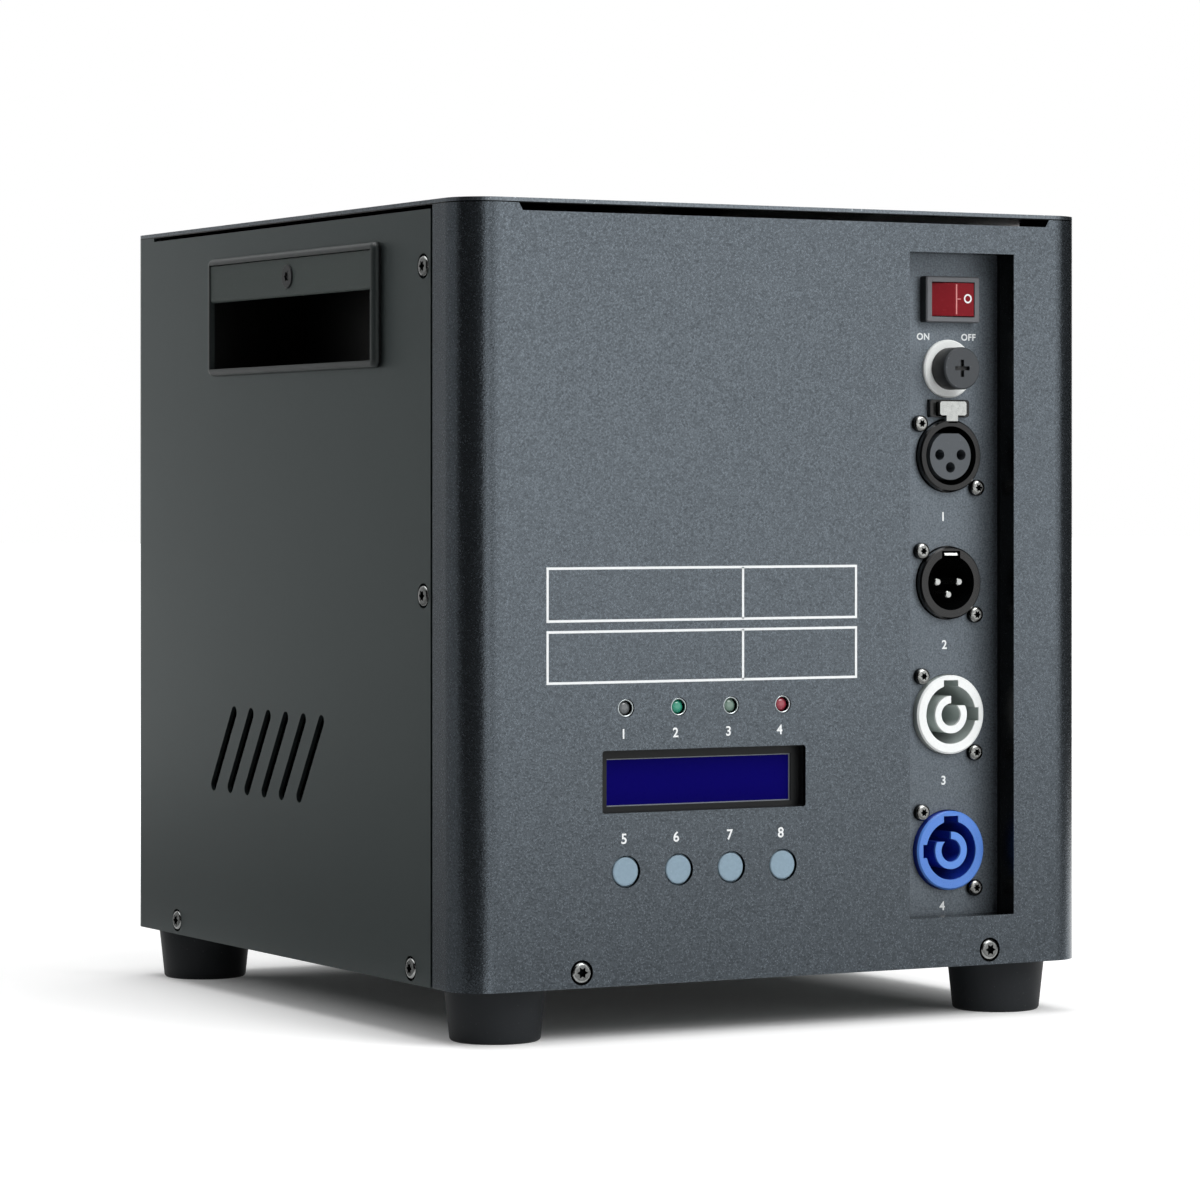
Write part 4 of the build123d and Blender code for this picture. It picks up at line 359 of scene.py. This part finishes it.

# %% [markdown]
# ## Rubber, plastic and metal
#
# The feet are matt black rubber and the grips a greyer one. The handle pockets and sockets
# are moulded plastic, a little smoother; the insides of the pockets are painted near black as
# shade. Screws are zinc, and their stars, the parts below the casing's skin and the sides of
# the socket screws' heads are painted dark as shade. The sides of the switch and the fuse cap
# are painted darker than their faces as shade, behind a depth named for each.

# %% Dress the rest of the CAD nodes
# Painted shade: the insides of the handle pockets are painted near black.
PAINTED_POCKET_SHADE = (3, 4, 4)
# Painted shade: the sides of the switch and the fuse cap, behind their faces.
PAINTED_SIDE_SHADE = (14, 16, 17)
POCKET_INSIDE = ((-111.6, -200, 0), (111.6, 200, 300))
# Painted shade: the stars and the parts below the casing's skin of the casing screws.
SCREW_STARS = ((-110.8, -123.8, 0), (110.8, 123.8, 255.8))
# Painted shade: the sides and stars of the socket screws' heads, behind this depth.
SOCKET_STAR_Y = -113.4
SWITCH_FACE_Y = -115.3
CAP_FACE_Y = -120.3
SCREW = {"fineness": 900, "contrast": 1.0, "rough": 0.22, "bump": 0.05, "metallic": 1.0}
rubber = finish(
    "foot_rubber", (30, 33, 36), (50, 52, 54),
    fineness=1800, share=0.03, rough=0.55, shine=0.2,
)
grip = finish(
    "grip_rubber", (76, 84, 82), (88, 95, 93),
    fineness=2000, share=0.04, rough=0.55, shine=0.2,
)
moulding = finish(
    "handle_moulding", (48, 54, 54),
    fineness=2600, contrast=0.5, rough=0.38, shine=0.4,
)
# Painted shade inside the handle pockets.
inside_box(moulding, *POCKET_INSIDE, PAINTED_POCKET_SHADE)
black_plastic = finish(
    "black_moulding", (20, 22, 23), (34, 36, 38),
    fineness=2600, share=0.02, rough=0.4, shine=0.3,
)
socket_black = finish("socket_black", (10, 11, 12), fineness=2600, rough=0.2, shine=0.3, coat=0.3)
switch_face = finish("switch_moulding", (94, 96, 100), fineness=2400, rough=0.42)
# Painted shade on the switch housing's sides behind its face.
deeper(switch_face, SWITCH_FACE_Y, PAINTED_SIDE_SHADE)
insert_grey = finish(
    "insert_moulding", (74, 79, 84), (96, 100, 104),
    fineness=2400, share=0.03, rough=0.5,
)
cap_grey = finish("cap_moulding", (52, 56, 60), (80, 84, 88), share=0.03, rough=0.5)
# Painted shade on the fuse cap's sides behind its face.
deeper(cap_grey, CAP_FACE_Y, PAINTED_SIDE_SHADE)
white_plastic = finish(
    "white_moulding", (236, 239, 238),
    fineness=2600, contrast=0.1, rough=0.3, bump=0.05,
)
zinc = finish(
    "bright_zinc", (178, 180, 178),
    fineness=700, contrast=0.5, rough=0.2, bump=0.03, metallic=1.0,
)
casing_zinc = finish("casing_zinc", (146, 148, 147), **SCREW)
# Painted shade in the casing screws' stars and below the casing's skin.
inside_box(casing_zinc, *SCREW_STARS, SHADOW)
socket_zinc = finish("socket_zinc", (150, 151, 149), **SCREW)
# Painted shade on the socket screws' head sides and stars.
deeper(socket_zinc, SOCKET_STAR_Y, SHADOW)
dark_screw = finish("black_oxide", (40, 42, 44), fineness=2400, rough=0.35, metallic=0.6)
steel = finish(
    "plain_steel", (150, 150, 148), (190, 190, 188),
    fineness=1200, share=0.05, rough=0.32, metallic=1.0,
)
dress(rubber, "front_left_foot", "front_right_foot", "rear_left_foot", "rear_right_foot")
dress(grip, "left_grip_strip", "right_grip_strip")
dress(moulding, "left_handle_pocket", "right_handle_pocket")
dress(black_plastic, "fuse_holder", "display_bezel", "key_switches", "blower_housing", "blower_wheel")
dress(black_plastic, "cooling_fan_frame", "cooling_fan_rotor")
dress(socket_black, "dmx_out_shell", "dmx_in_shell")
dress(switch_face, "switch_housing")
dress(insert_grey, "dmx_out_insert")
dress(cap_grey, "fuse_cap")
dress(white_plastic, "fuse_ring")
dress(casing_zinc, "casing_screws")
dress(socket_zinc, "socket_screws")
dress(zinc, "dmx_release_tab", "dmx_in_pins", "lid_hinge_pin")
dress(dark_screw, "grip_screws")
dress(steel, "nozzle_collar", "nozzle_tube", "heating_chamber", "heater_band", "hopper", "hopper_lid")
dress(steel, "feed_auger", "feed_motor", "power_supply")

# The two power sockets: light rings, and behind their faces the inserts' own grey and navy,
# painted lighter to make up for the shade deep in the cavities
SHELL_FACE_Y = -113.9
CORE_FACE_Y = -113.5
# Partly painted light: the inserts' colours, made lighter to make up for the cavities' shade.
CAVITY_GREY_PAINTED_LIGHTER = (188, 197, 194)
CAVITY_NAVY_PAINTED_LIGHTER = (26, 54, 165)
SMOOTH = {"fineness": 2600, "contrast": 0.1, "rough": 0.3, "bump": 0.05}
for name, node, colour, face_y, cavity in (
    ("power_white", "power_out_shell", (240, 243, 242), SHELL_FACE_Y, CAVITY_GREY_PAINTED_LIGHTER),
    ("power_blue", "power_in_shell", (84, 132, 214), SHELL_FACE_Y, CAVITY_NAVY_PAINTED_LIGHTER),
    ("core_white", "power_out_core", (240, 243, 242), CORE_FACE_Y, CAVITY_GREY_PAINTED_LIGHTER),
    ("core_blue", "power_in_core", (90, 140, 222), CORE_FACE_Y, CAVITY_NAVY_PAINTED_LIGHTER),
):
    dress(deeper(finish(name, colour, **SMOOTH), face_y, cavity), node)

# The lamps: clear plastic, unlit
CLEAR = {"fineness": 900, "contrast": 0.1, "rough": 0.12, "bump": 0.0}
for name, node, colour in (
    ("lamp_clear", "first_lamp", (96, 100, 102)),
    ("lamp_green", "green_lamp", (44, 142, 116)),
    ("lamp_pale", "pale_green_lamp", (104, 128, 116)),
    ("lamp_red", "red_lamp", (146, 52, 66)),
):
    dress(finish(name, colour, coat=0.5, **CLEAR), node)

# The display, the rocker, the buttons and what lies inside
screen_blue = finish(
    "screen_blue", (8, 3, 94),
    fineness=900, contrast=0.1, rough=0.3, bump=0.0, shine=0.02,
)
rocker_red = finish(
    "rocker_red", (120, 22, 31),
    fineness=1200, contrast=0.2, rough=0.25, bump=0.03, shine=0.1,
)
button_blue = finish(
    "button_blue", (134, 156, 171), (148, 170, 184),
    share=0.03, rough=0.5, shine=0.3,
)
board_green = finish(
    "board_green", (24, 84, 52), (60, 120, 84),
    fineness=1400, share=0.06, rough=0.4,
)
wool = finish(
    "mineral_wool", (206, 200, 184), (232, 228, 216),
    fineness=700, share=0.3, rough=0.9, bump=0.8,
)
fuse_glass = finish("fuse_glass", (190, 200, 202), **CLEAR)
dress(screen_blue, "display_screen")
dress(rocker_red, "switch_rocker")
dress(button_blue, "menu_button", "down_button", "up_button", "enter_button")
dress(board_green, "control_board", "main_board")
dress(wool, "insulation_jacket")
dress(fuse_glass, "fuse_link")
print("dressed", sum(1 for n in nodes.values() if n.data.materials[0].users), "nodes")

# %% [markdown]
# ## Thin films
#
# Screen print, lamp rims and the line round the display are films or thin rings. Each
# starts as a flat plane or disc, is inset where it is a ring, loses its middle and is
# pulled forward by its thickness. Helpers do the steps that all of them share.

# %% Film helpers
INK = 0.06
RING_CORNERS = 40


def ready():
    """Back in object mode with nothing selected."""
    if bpy.context.mode != "OBJECT":
        bpy.ops.object.mode_set(mode="OBJECT")
    bpy.ops.object.select_all(action="DESELECT")


def settle(piece, name, body, material):
    """Place goes into the mesh, and the piece rides on its body with its finish."""
    ready()
    piece.select_set(True)
    bpy.context.view_layer.objects.active = piece
    bpy.ops.object.transform_apply(location=True, rotation=True, scale=True)
    piece.name = name
    piece.data.name = name
    piece.data.materials.clear()
    piece.data.materials.append(material)
    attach(piece, body)
    return piece


def pull_forward(piece, line, rise):
    """A flat face becomes a film: a ring where line is given, rise millimetres thick."""
    bpy.ops.object.mode_set(mode="EDIT")
    bpy.ops.mesh.select_all(action="SELECT")
    if line:
        bpy.ops.mesh.inset(thickness=line * MM)
        bpy.ops.mesh.delete(type="FACE")
        bpy.ops.mesh.select_all(action="SELECT")
    bpy.ops.mesh.extrude_region_move(TRANSFORM_OT_translate={"value": (0, -rise * MM, 0)})
    bpy.ops.mesh.select_all(action="SELECT")
    bpy.ops.mesh.normals_make_consistent(inside=False)
    bpy.ops.object.mode_set(mode="OBJECT")
    return piece


def patch(x_low, x_high, z_low, z_high, depth=0.0, line=None, rise=INK):
    """A rectangular film on the front, or a rectangular ring of the given line."""
    ready()
    middle = spot((x_low + x_high) / 2, (z_low + z_high) / 2, depth)
    bpy.ops.mesh.primitive_plane_add(size=MM, location=middle, rotation=(pi / 2, 0, 0))
    piece = bpy.context.object
    piece.scale = (x_high - x_low, z_high - z_low, 1)
    bpy.ops.object.transform_apply(location=False, rotation=False, scale=True)
    return pull_forward(piece, line, rise)


def disc_ring(x, z, radius, line, depth, rise):
    """A round ring on the front."""
    ready()
    bpy.ops.mesh.primitive_circle_add(
        vertices=RING_CORNERS,
        radius=radius * MM,
        fill_type="NGON",
        location=spot(x, z, depth),
        rotation=(pi / 2, 0, 0),
    )
    return pull_forward(bpy.context.object, line, rise)


def join(pieces):
    """Several objects become one."""
    ready()
    for piece in pieces:
        piece.select_set(True)
    bpy.context.view_layer.objects.active = pieces[0]
    bpy.ops.object.join()
    return pieces[0]


print("film helpers ready")

# %% [markdown]
# ## The printed table
#
# The front carries a printed table: two rows, each with a dividing line.

# %% Printed table
ink_white = finish("ink_white", (232, 235, 236), fineness=2400, contrast=0.1, rough=0.5)
LINE = 0.75
TABLE_LEFT = 27.4
TABLE_RIGHT = 136.0
DIVIDER = 95.2
ROWS = ((109.5, 126.0), (91.0, 107.0))
half = LINE / 2
table_parts = []
for low, high in ROWS:
    table_parts.append(patch(TABLE_LEFT, TABLE_RIGHT, low, high, line=LINE))
    table_parts.append(patch(DIVIDER - half, DIVIDER + half, low + half, high - half))
table = settle(join(table_parts), "printed_table", "casing", ink_white)
print("printed table:", len(table.data.polygons), "faces")

# %% [markdown]
# ## Numbers
#
# Plain numbers tell the lamps, the buttons and the sockets apart, and the switch reads
# ON and OFF. A text object is turned into a mesh before its place is applied.

# %% Numbers on the front and on the socket plate
CAP_SHARE = 0.72
BOLD = 0.00008
SPREAD = 1.1
LAMP_NUMBERS_X = (53.6, 71.6, 90.1, 108.2)
LAMP_NUMBERS_Z = 74.4
LAMP_NUMBER_H = 2.9
BUTTON_NUMBERS_X = (53.8, 71.8, 90.5, 108.6)
BUTTON_NUMBERS_Z = 42.8
BUTTON_NUMBER_H = 3.1
ON_X = 167.9
OFF_X = 184.8
ON_OFF_Z = 196.4
ON_OFF_H = 2.1
SOCKET_NUMBERS = ((175.3, 139.4), (175.8, 99.0), (175.5, 56.2), (175.0, 16.6))
SOCKET_NUMBER_H = 2.8


def number(text, x, z, height, depth=0.0):
    """A printed text, centred at x, standing on z, raised by the ink film."""
    ready()
    bpy.ops.object.text_add(location=spot(x, z, depth), rotation=(pi / 2, 0, 0))
    piece = bpy.context.object
    piece.data.body = text
    piece.data.align_x = "CENTER"
    piece.data.size = height / CAP_SHARE * MM
    piece.data.offset = BOLD
    piece.data.extrude = INK * MM / 2
    piece.data.space_character = SPREAD
    bpy.ops.object.convert(target="MESH")
    return bpy.context.object


front_texts = []
for count, x in enumerate(LAMP_NUMBERS_X, start=1):
    front_texts.append(number(str(count), x, LAMP_NUMBERS_Z, LAMP_NUMBER_H))
for count, x in enumerate(BUTTON_NUMBERS_X, start=5):
    front_texts.append(number(str(count), x, BUTTON_NUMBERS_Z, BUTTON_NUMBER_H))
front_numbers = settle(join(front_texts), "front_numbers", "casing", ink_white)

plate_texts = [
    number("ON", ON_X, ON_OFF_Z, ON_OFF_H, PLATE_DEPTH),
    number("OFF", OFF_X, ON_OFF_Z, ON_OFF_H, PLATE_DEPTH),
]
for count, (x, z) in enumerate(SOCKET_NUMBERS, start=1):
    plate_texts.append(number(str(count), x, z, SOCKET_NUMBER_H, PLATE_DEPTH))
plate_numbers = settle(join(plate_texts), "plate_numbers", "casing", ink_white)
print("numbers:", len(front_numbers.data.polygons) + len(plate_numbers.data.polygons), "faces")

# %% [markdown]
# ## Line round the display
#
# Inside the bezel a pale edge frames the screen: the lip of the glass's holder, painted
# pale as a highlight where it catches the light. It is a thin ring on the glass.

# %% Line round the display
SCREEN = (49.9, 114.6, 53.6, 68.2)
SCREEN_DEPTH = 5.0
# Painted highlight on the lip of the glass's holder.
painted_bezel_highlight = finish("painted_bezel_highlight", (126, 132, 138), contrast=0.1, rough=0.3)
screen_line = patch(*SCREEN, depth=SCREEN_DEPTH, line=0.4, rise=0.25)
screen_line = settle(screen_line, "screen_line", "casing", painted_bezel_highlight)
print("line round the display:", len(screen_line.data.polygons), "faces")

# %% [markdown]
# ## Rims of the lamps
#
# Each lamp sits in a bright rim that catches the light. One ring is made, its edges are
# rounded, and it is copied along the row.

# %% Lamp rims
LAMPS = 4
LAMP_X = 54.5
LAMP_Z = 83.5
LAMP_PITCH = 18.3
RIM_R = 2.75
RIM_W = 0.5
RIM_DEPTH = 0.75
RIM_RISE = 0.5
RIM_ROUND = 0.2
rim_grey = finish(
    "rim_grey", (190, 198, 200),
    contrast=0.1, rough=0.16, metallic=0.9, bump=0.0,
)
first_rim = disc_ring(LAMP_X, LAMP_Z, RIM_R, RIM_W, RIM_DEPTH, RIM_RISE)
round_edge = first_rim.modifiers.new("round_edge", "BEVEL")
round_edge.width = RIM_ROUND * MM
round_edge.segments = 3
bpy.ops.object.modifier_apply(modifier=round_edge.name)
bpy.ops.object.shade_smooth()
rims = [first_rim]
for step in range(1, LAMPS):
    copy = first_rim.copy()
    copy.data = first_rim.data.copy()
    copy.location.x += step * LAMP_PITCH * MM
    bpy.context.scene.collection.objects.link(copy)
    rims.append(copy)
lamp_rims = settle(join(rims), "lamp_rims", "casing", rim_grey)
print("lamp rims:", len(lamp_rims.data.polygons), "faces")

# %% [markdown]
# ## Marks on the rocker
#
# The rocker's raised half shows a ring, the usual sign for off, and a pale upright line
# along its ridge with a short stroke to the side, a painted highlight where the ridge catches
# the light. Both ride on the rocker, so they tilt with it.

# %% Rocker marks
ROCKER_DEPTH = 7.7
RING_X = 181.8
RING_Z = 209.4
RING_R = 1.45
RING_LINE = 0.5
RIDGE_LINE = (177.35, 177.8, 204.4, 213.9)
SIDE_STROKE = (177.8, 179.2, 209.1, 209.4)
ring_mark = disc_ring(RING_X, RING_Z, RING_R, RING_LINE, ROCKER_DEPTH, INK)
ring_mark = settle(ring_mark, "rocker_ring_mark", "power_rocker", ink_white)
# Painted highlight along the rocker's ridge.
painted_ridge_highlight = finish("painted_ridge_highlight", (206, 128, 128), contrast=0.2, rough=0.3)
ridge = join([patch(*RIDGE_LINE, ROCKER_DEPTH), patch(*SIDE_STROKE, ROCKER_DEPTH)])
ridge = settle(ridge, "rocker_ridge_highlight", "power_rocker", painted_ridge_highlight)
print("rocker marks:", len(ring_mark.data.polygons) + len(ridge.data.polygons), "faces")

# %% [markdown]
# ## Contact spring of the signal socket
#
# In the key slot of the pin socket sits a bright spring that meets the plug's shell. It
# starts as a strip, gets a lip bent down at the front and the thickness of spring sheet.

# %% Contact spring
IN_X = 176.8
IN_Z = 119.8
SPRING_RISE = 9.3
SPRING_DEPTH = 13.0
SPRING_W = 4.8
SPRING_L = 6.0
SPRING_T = 0.35
LIP_OUT = 0.3
LIP_DROP = 0.7
EDGE_REACH = 0.1
ready()
bpy.ops.mesh.primitive_plane_add(size=MM, location=spot(IN_X, IN_Z + SPRING_RISE, SPRING_DEPTH))
spring = bpy.context.object
spring.scale = (SPRING_W, SPRING_L, 1)
bpy.ops.object.transform_apply(location=False, rotation=False, scale=True)
front_edge = min(v.co.y for v in spring.data.vertices)
for part in (spring.data.vertices, spring.data.edges, spring.data.polygons):
    for item in part:
        item.select = False
for vertex in spring.data.vertices:
    vertex.select = vertex.co.y < front_edge + EDGE_REACH * MM
bpy.ops.object.mode_set(mode="EDIT")
bpy.ops.mesh.select_mode(type="VERT")
lip = (0, -LIP_OUT * MM, -LIP_DROP * MM)
bpy.ops.mesh.extrude_region_move(TRANSFORM_OT_translate={"value": lip})
bpy.ops.object.mode_set(mode="OBJECT")
sheet = spring.modifiers.new("sheet", "SOLIDIFY")
sheet.thickness = SPRING_T * MM
sheet.offset = 0
bpy.ops.object.modifier_apply(modifier=sheet.name)
spring = settle(spring, "contact_spring", "casing", zinc)
print("contact spring:", len(spring.data.polygons), "faces")

# %% [markdown]
# ## Dust screens
#
# Behind the cooling slots of each side lies a screen of black foam, so nobody can look
# through the machine. It starts as a grid. Every cell is inset and pressed in, which gives
# the open weave, and the sheet gets the thickness of the foam. One screen is made and
# copied across.

# %% Dust screens
DUST_X = 108.6
DUST_Y = 16.0
DUST_Z = 80.7
DUST_H = 40.0
DUST_L = 100.0
DUST_T = 1.0
CELL_RIM = 0.4
CELL_DIP = 0.3
foam = finish(
    "screen_foam", (8, 9, 10),
    fineness=1600, contrast=0.6, rough=0.9, bump=0.6, shine=0.1,
)
ready()
bpy.ops.mesh.primitive_grid_add(
    x_subdivisions=24,
    y_subdivisions=9,
    size=MM,
    location=(-DUST_X * MM, DUST_Y * MM, DUST_Z * MM),
    rotation=(0, -pi / 2, 0),
)
left_screen = bpy.context.object
left_screen.scale = (DUST_H, DUST_L, 1)
bpy.ops.object.transform_apply(location=False, rotation=False, scale=True)
bpy.ops.object.mode_set(mode="EDIT")
bpy.ops.mesh.select_all(action="SELECT")
bpy.ops.mesh.inset(thickness=CELL_RIM * MM, depth=-CELL_DIP * MM, use_individual=True)
bpy.ops.object.mode_set(mode="OBJECT")
sheet = left_screen.modifiers.new("foam", "SOLIDIFY")
sheet.thickness = DUST_T * MM
sheet.offset = -1
bpy.ops.object.modifier_apply(modifier=sheet.name)
right_screen = left_screen.copy()
right_screen.data = left_screen.data.copy()
right_screen.location.x = DUST_X * MM
right_screen.rotation_euler = (0, pi / 2, 0)
bpy.context.scene.collection.objects.link(right_screen)
left_screen = settle(left_screen, "left_dust_screen", "casing", foam)
right_screen = settle(right_screen, "right_dust_screen", "casing", foam)
print("dust screens:", len(left_screen.data.polygons), "faces each")

# %% [markdown]
# ## The studio
#
# A white floor runs out of sight. Deep under the machine it is white paint that takes the
# shadow. Near the casing's edge and on outwards it glows more and more to the camera, to
# mirrors and through glass, so it meets the white surround with no edge and throws no
# extra light on the machine.

# %% White floor
FLOOR_SIZE = 24.0
FLOOR_WHITE = 0.86
HALF_FOOTPRINT = (0.111, 0.124, 0)


def background_rays(tree):
    """One for rays that should meet the white background, nothing for lighting rays."""
    rays = add_node(tree, "ShaderNodeLightPath")
    seen = math_node(tree, "MAXIMUM", rays.outputs["Is Camera Ray"], rays.outputs["Is Glossy Ray"])
    return math_node(tree, "MAXIMUM", seen, rays.outputs["Is Transmission Ray"])


def ramp(tree, value, start, end, low, high):
    """A smooth rise from low to high while the value runs from start to end."""
    node = add_node(tree, "ShaderNodeMapRange", interpolation_type="SMOOTHSTEP")
    feed(tree, node.inputs["Value"], value)
    ends = {"From Min": start, "From Max": end, "To Min": low, "To Max": high}
    for name, level in ends.items():
        node.inputs[name].default_value = level
    return node.outputs["Result"]


ready()
bpy.ops.mesh.primitive_plane_add(size=FLOOR_SIZE, location=(0, 0, 0))
floor = bpy.context.object
floor.name = "studio_floor"
floor_paint = bpy.data.materials.new("studio_white")
floor_paint.use_nodes = True
tree = floor_paint.node_tree
shader = tree.nodes["Principled BSDF"]
shader.inputs["Base Color"].default_value = (FLOOR_WHITE, FLOOR_WHITE, FLOOR_WHITE, 1)
shader.inputs["Roughness"].default_value = 0.6
shader.inputs["Specular IOR Level"].default_value = 0.0
shader.inputs["Emission Color"].default_value = (1, 1, 1, 1)
where = add_node(tree, "ShaderNodeTexCoord").outputs["Object"]
outward = vector_node(tree, "SUBTRACT", vector_node(tree, "ABSOLUTE", where), HALF_FOOTPRINT)
split = add_node(tree, "ShaderNodeSeparateXYZ")
feed(tree, split.inputs[0], outward)
reach = math_node(tree, "MAXIMUM", split.outputs[0], split.outputs[1])
edge_glow = ramp(tree, reach, start=-0.04, end=0.03, low=0.012, high=0.4)
far_glow = ramp(tree, reach, start=0.0, end=0.8, low=0.0, high=0.7)
glow = math_node(tree, "ADD", edge_glow, far_glow)
glow = math_node(tree, "MULTIPLY", glow, background_rays(tree))
feed(tree, shader.inputs["Emission Strength"], glow)
floor.data.materials.append(floor_paint)
print("floor:", FLOOR_SIZE, "m")

# %% [markdown]
# The surround is white to the camera and in every mirror. What lights the machine comes
# a little from all round, most from the right front and some from the left rear.

# %% Surround painted by direction
RIGHT_FRONT = (0.55, -0.8, 0.35)
LEFT_REAR = (-0.55, 0.8, 0.25)
ALL_ROUND = 0.25


def lobe(tree, direction, toward, start, end, low, high):
    """A soft patch of the surround: low outside, high where a ray runs toward it."""
    dot = add_node(tree, "ShaderNodeVectorMath", operation="DOT_PRODUCT")
    tree.links.new(direction, dot.inputs[0])
    dot.inputs[1].default_value = Vector(toward).normalized()
    return ramp(tree, dot.outputs["Value"], start, end, low, high)


world = bpy.data.worlds.new("studio")
bpy.context.scene.world = world
world.use_nodes = True
tree = world.node_tree
background = tree.nodes["Background"]
direction = add_node(tree, "ShaderNodeTexCoord").outputs["Generated"]
bright_front = lobe(tree, direction, RIGHT_FRONT, start=0.55, end=0.95, low=0.0, high=1.0)
bright_rear = lobe(tree, direction, LEFT_REAR, start=0.5, end=0.95, low=0.0, high=0.35)
light = math_node(tree, "ADD", math_node(tree, "ADD", bright_front, bright_rear), ALL_ROUND)
background.inputs["Color"].default_value = (1, 1, 1, 1)
strength = math_node(tree, "MAXIMUM", light, background_rays(tree))
tree.links.new(strength, background.inputs["Strength"])
print("surround node count:", len(tree.nodes))

# %% [markdown]
# A photographer shapes dark paint with what it mirrors. Dark cards stand out of the
# camera's sight: a wide one on the left, which the round corner shows as a dark band, one
# on the right for the far edge, a grey one behind for the side sheet, and a narrow one that
# draws a fine line beside the band. Grey and dark sheets lie on the floor, so that the
# lower parts of the casing fall off. They are met by mirrored rays and cast no shadow, so
# the floor stays white.

# %% Cards, sheets and lamps
TALL = 1.2
SHEET_RISE = 0.003


def papered(piece, tone):
    """Matt paper of a grey tone, out of the camera's sight."""
    paint = bpy.data.materials.new(piece.name)
    paint.use_nodes = True
    shader = paint.node_tree.nodes["Principled BSDF"]
    shader.inputs["Base Color"].default_value = (tone, tone, tone, 1)
    shader.inputs["Roughness"].default_value = 1.0
    shader.inputs["Specular IOR Level"].default_value = 0.0
    piece.data.materials.append(paint)
    piece.visible_camera = False


def card(name, start, end, height, tone):
    """An upright card that stands on the floor between two points of it."""
    ready()
    first = Vector((*start, 0.0))
    last = Vector((*end, 0.0))
    middle = (first + last) / 2 + Vector((0, 0, height / 2))
    turn = (last - first).to_track_quat("X", "Z").to_euler()
    bpy.ops.mesh.primitive_plane_add(size=1.0, location=middle, rotation=(pi / 2, 0, turn.z))
    piece = bpy.context.object
    piece.name = name
    piece.scale = ((last - first).length, height, 1)
    papered(piece, tone)


def floor_sheet(name, x_range, y_range, tone):
    """A sheet just over the floor that lighting rays pass and mirrored rays meet."""
    ready()
    middle = (sum(x_range) / 2, sum(y_range) / 2, SHEET_RISE)
    bpy.ops.mesh.primitive_plane_add(size=1.0, location=middle)
    piece = bpy.context.object
    piece.name = name
    piece.scale = (x_range[1] - x_range[0], y_range[1] - y_range[0], 1)
    piece.visible_diffuse = False
    piece.visible_shadow = False
    papered(piece, tone)


def soft_lamp(name, place, aim, size, power):
    """A square area lamp that faces its aim."""
    data = bpy.data.lights.new(name, "AREA")
    data.size = size
    data.energy = power
    lamp = bpy.data.objects.new(name, data)
    bpy.context.scene.collection.objects.link(lamp)
    lamp.location = place
    lamp.rotation_euler = (Vector(aim) - Vector(place)).to_track_quat("-Z", "Y").to_euler()


card("left_card", (-0.42, -0.959), (-0.986, 0.046), TALL, tone=0.01)
card("rear_card", (-0.986, 0.046), (-0.333, 0.76), 0.9, tone=0.37)
card("right_card", (0.69, -0.6), (0.713, 0.404), TALL, tone=0.02)
card("line_card", (-0.16, -1.0), (-0.04, -1.0), TALL, tone=0.1)
floor_sheet("front_sheet", (-0.1, 0.9), (-1.05, -0.15), tone=0.42)
floor_sheet("corner_sheet", (-0.85, -0.13), (-0.8, -0.15), tone=0.05)
floor_sheet("side_sheet", (-0.8, -0.14), (-0.15, 0.8), tone=0.27)
soft_lamp("front_lamp", (0.35, -0.9, 0.95), (0, 0, 0.15), size=0.7, power=9)
soft_lamp("top_lamp", (0, 0.2, 1.9), (0, 0, 0.12), size=1.8, power=24)
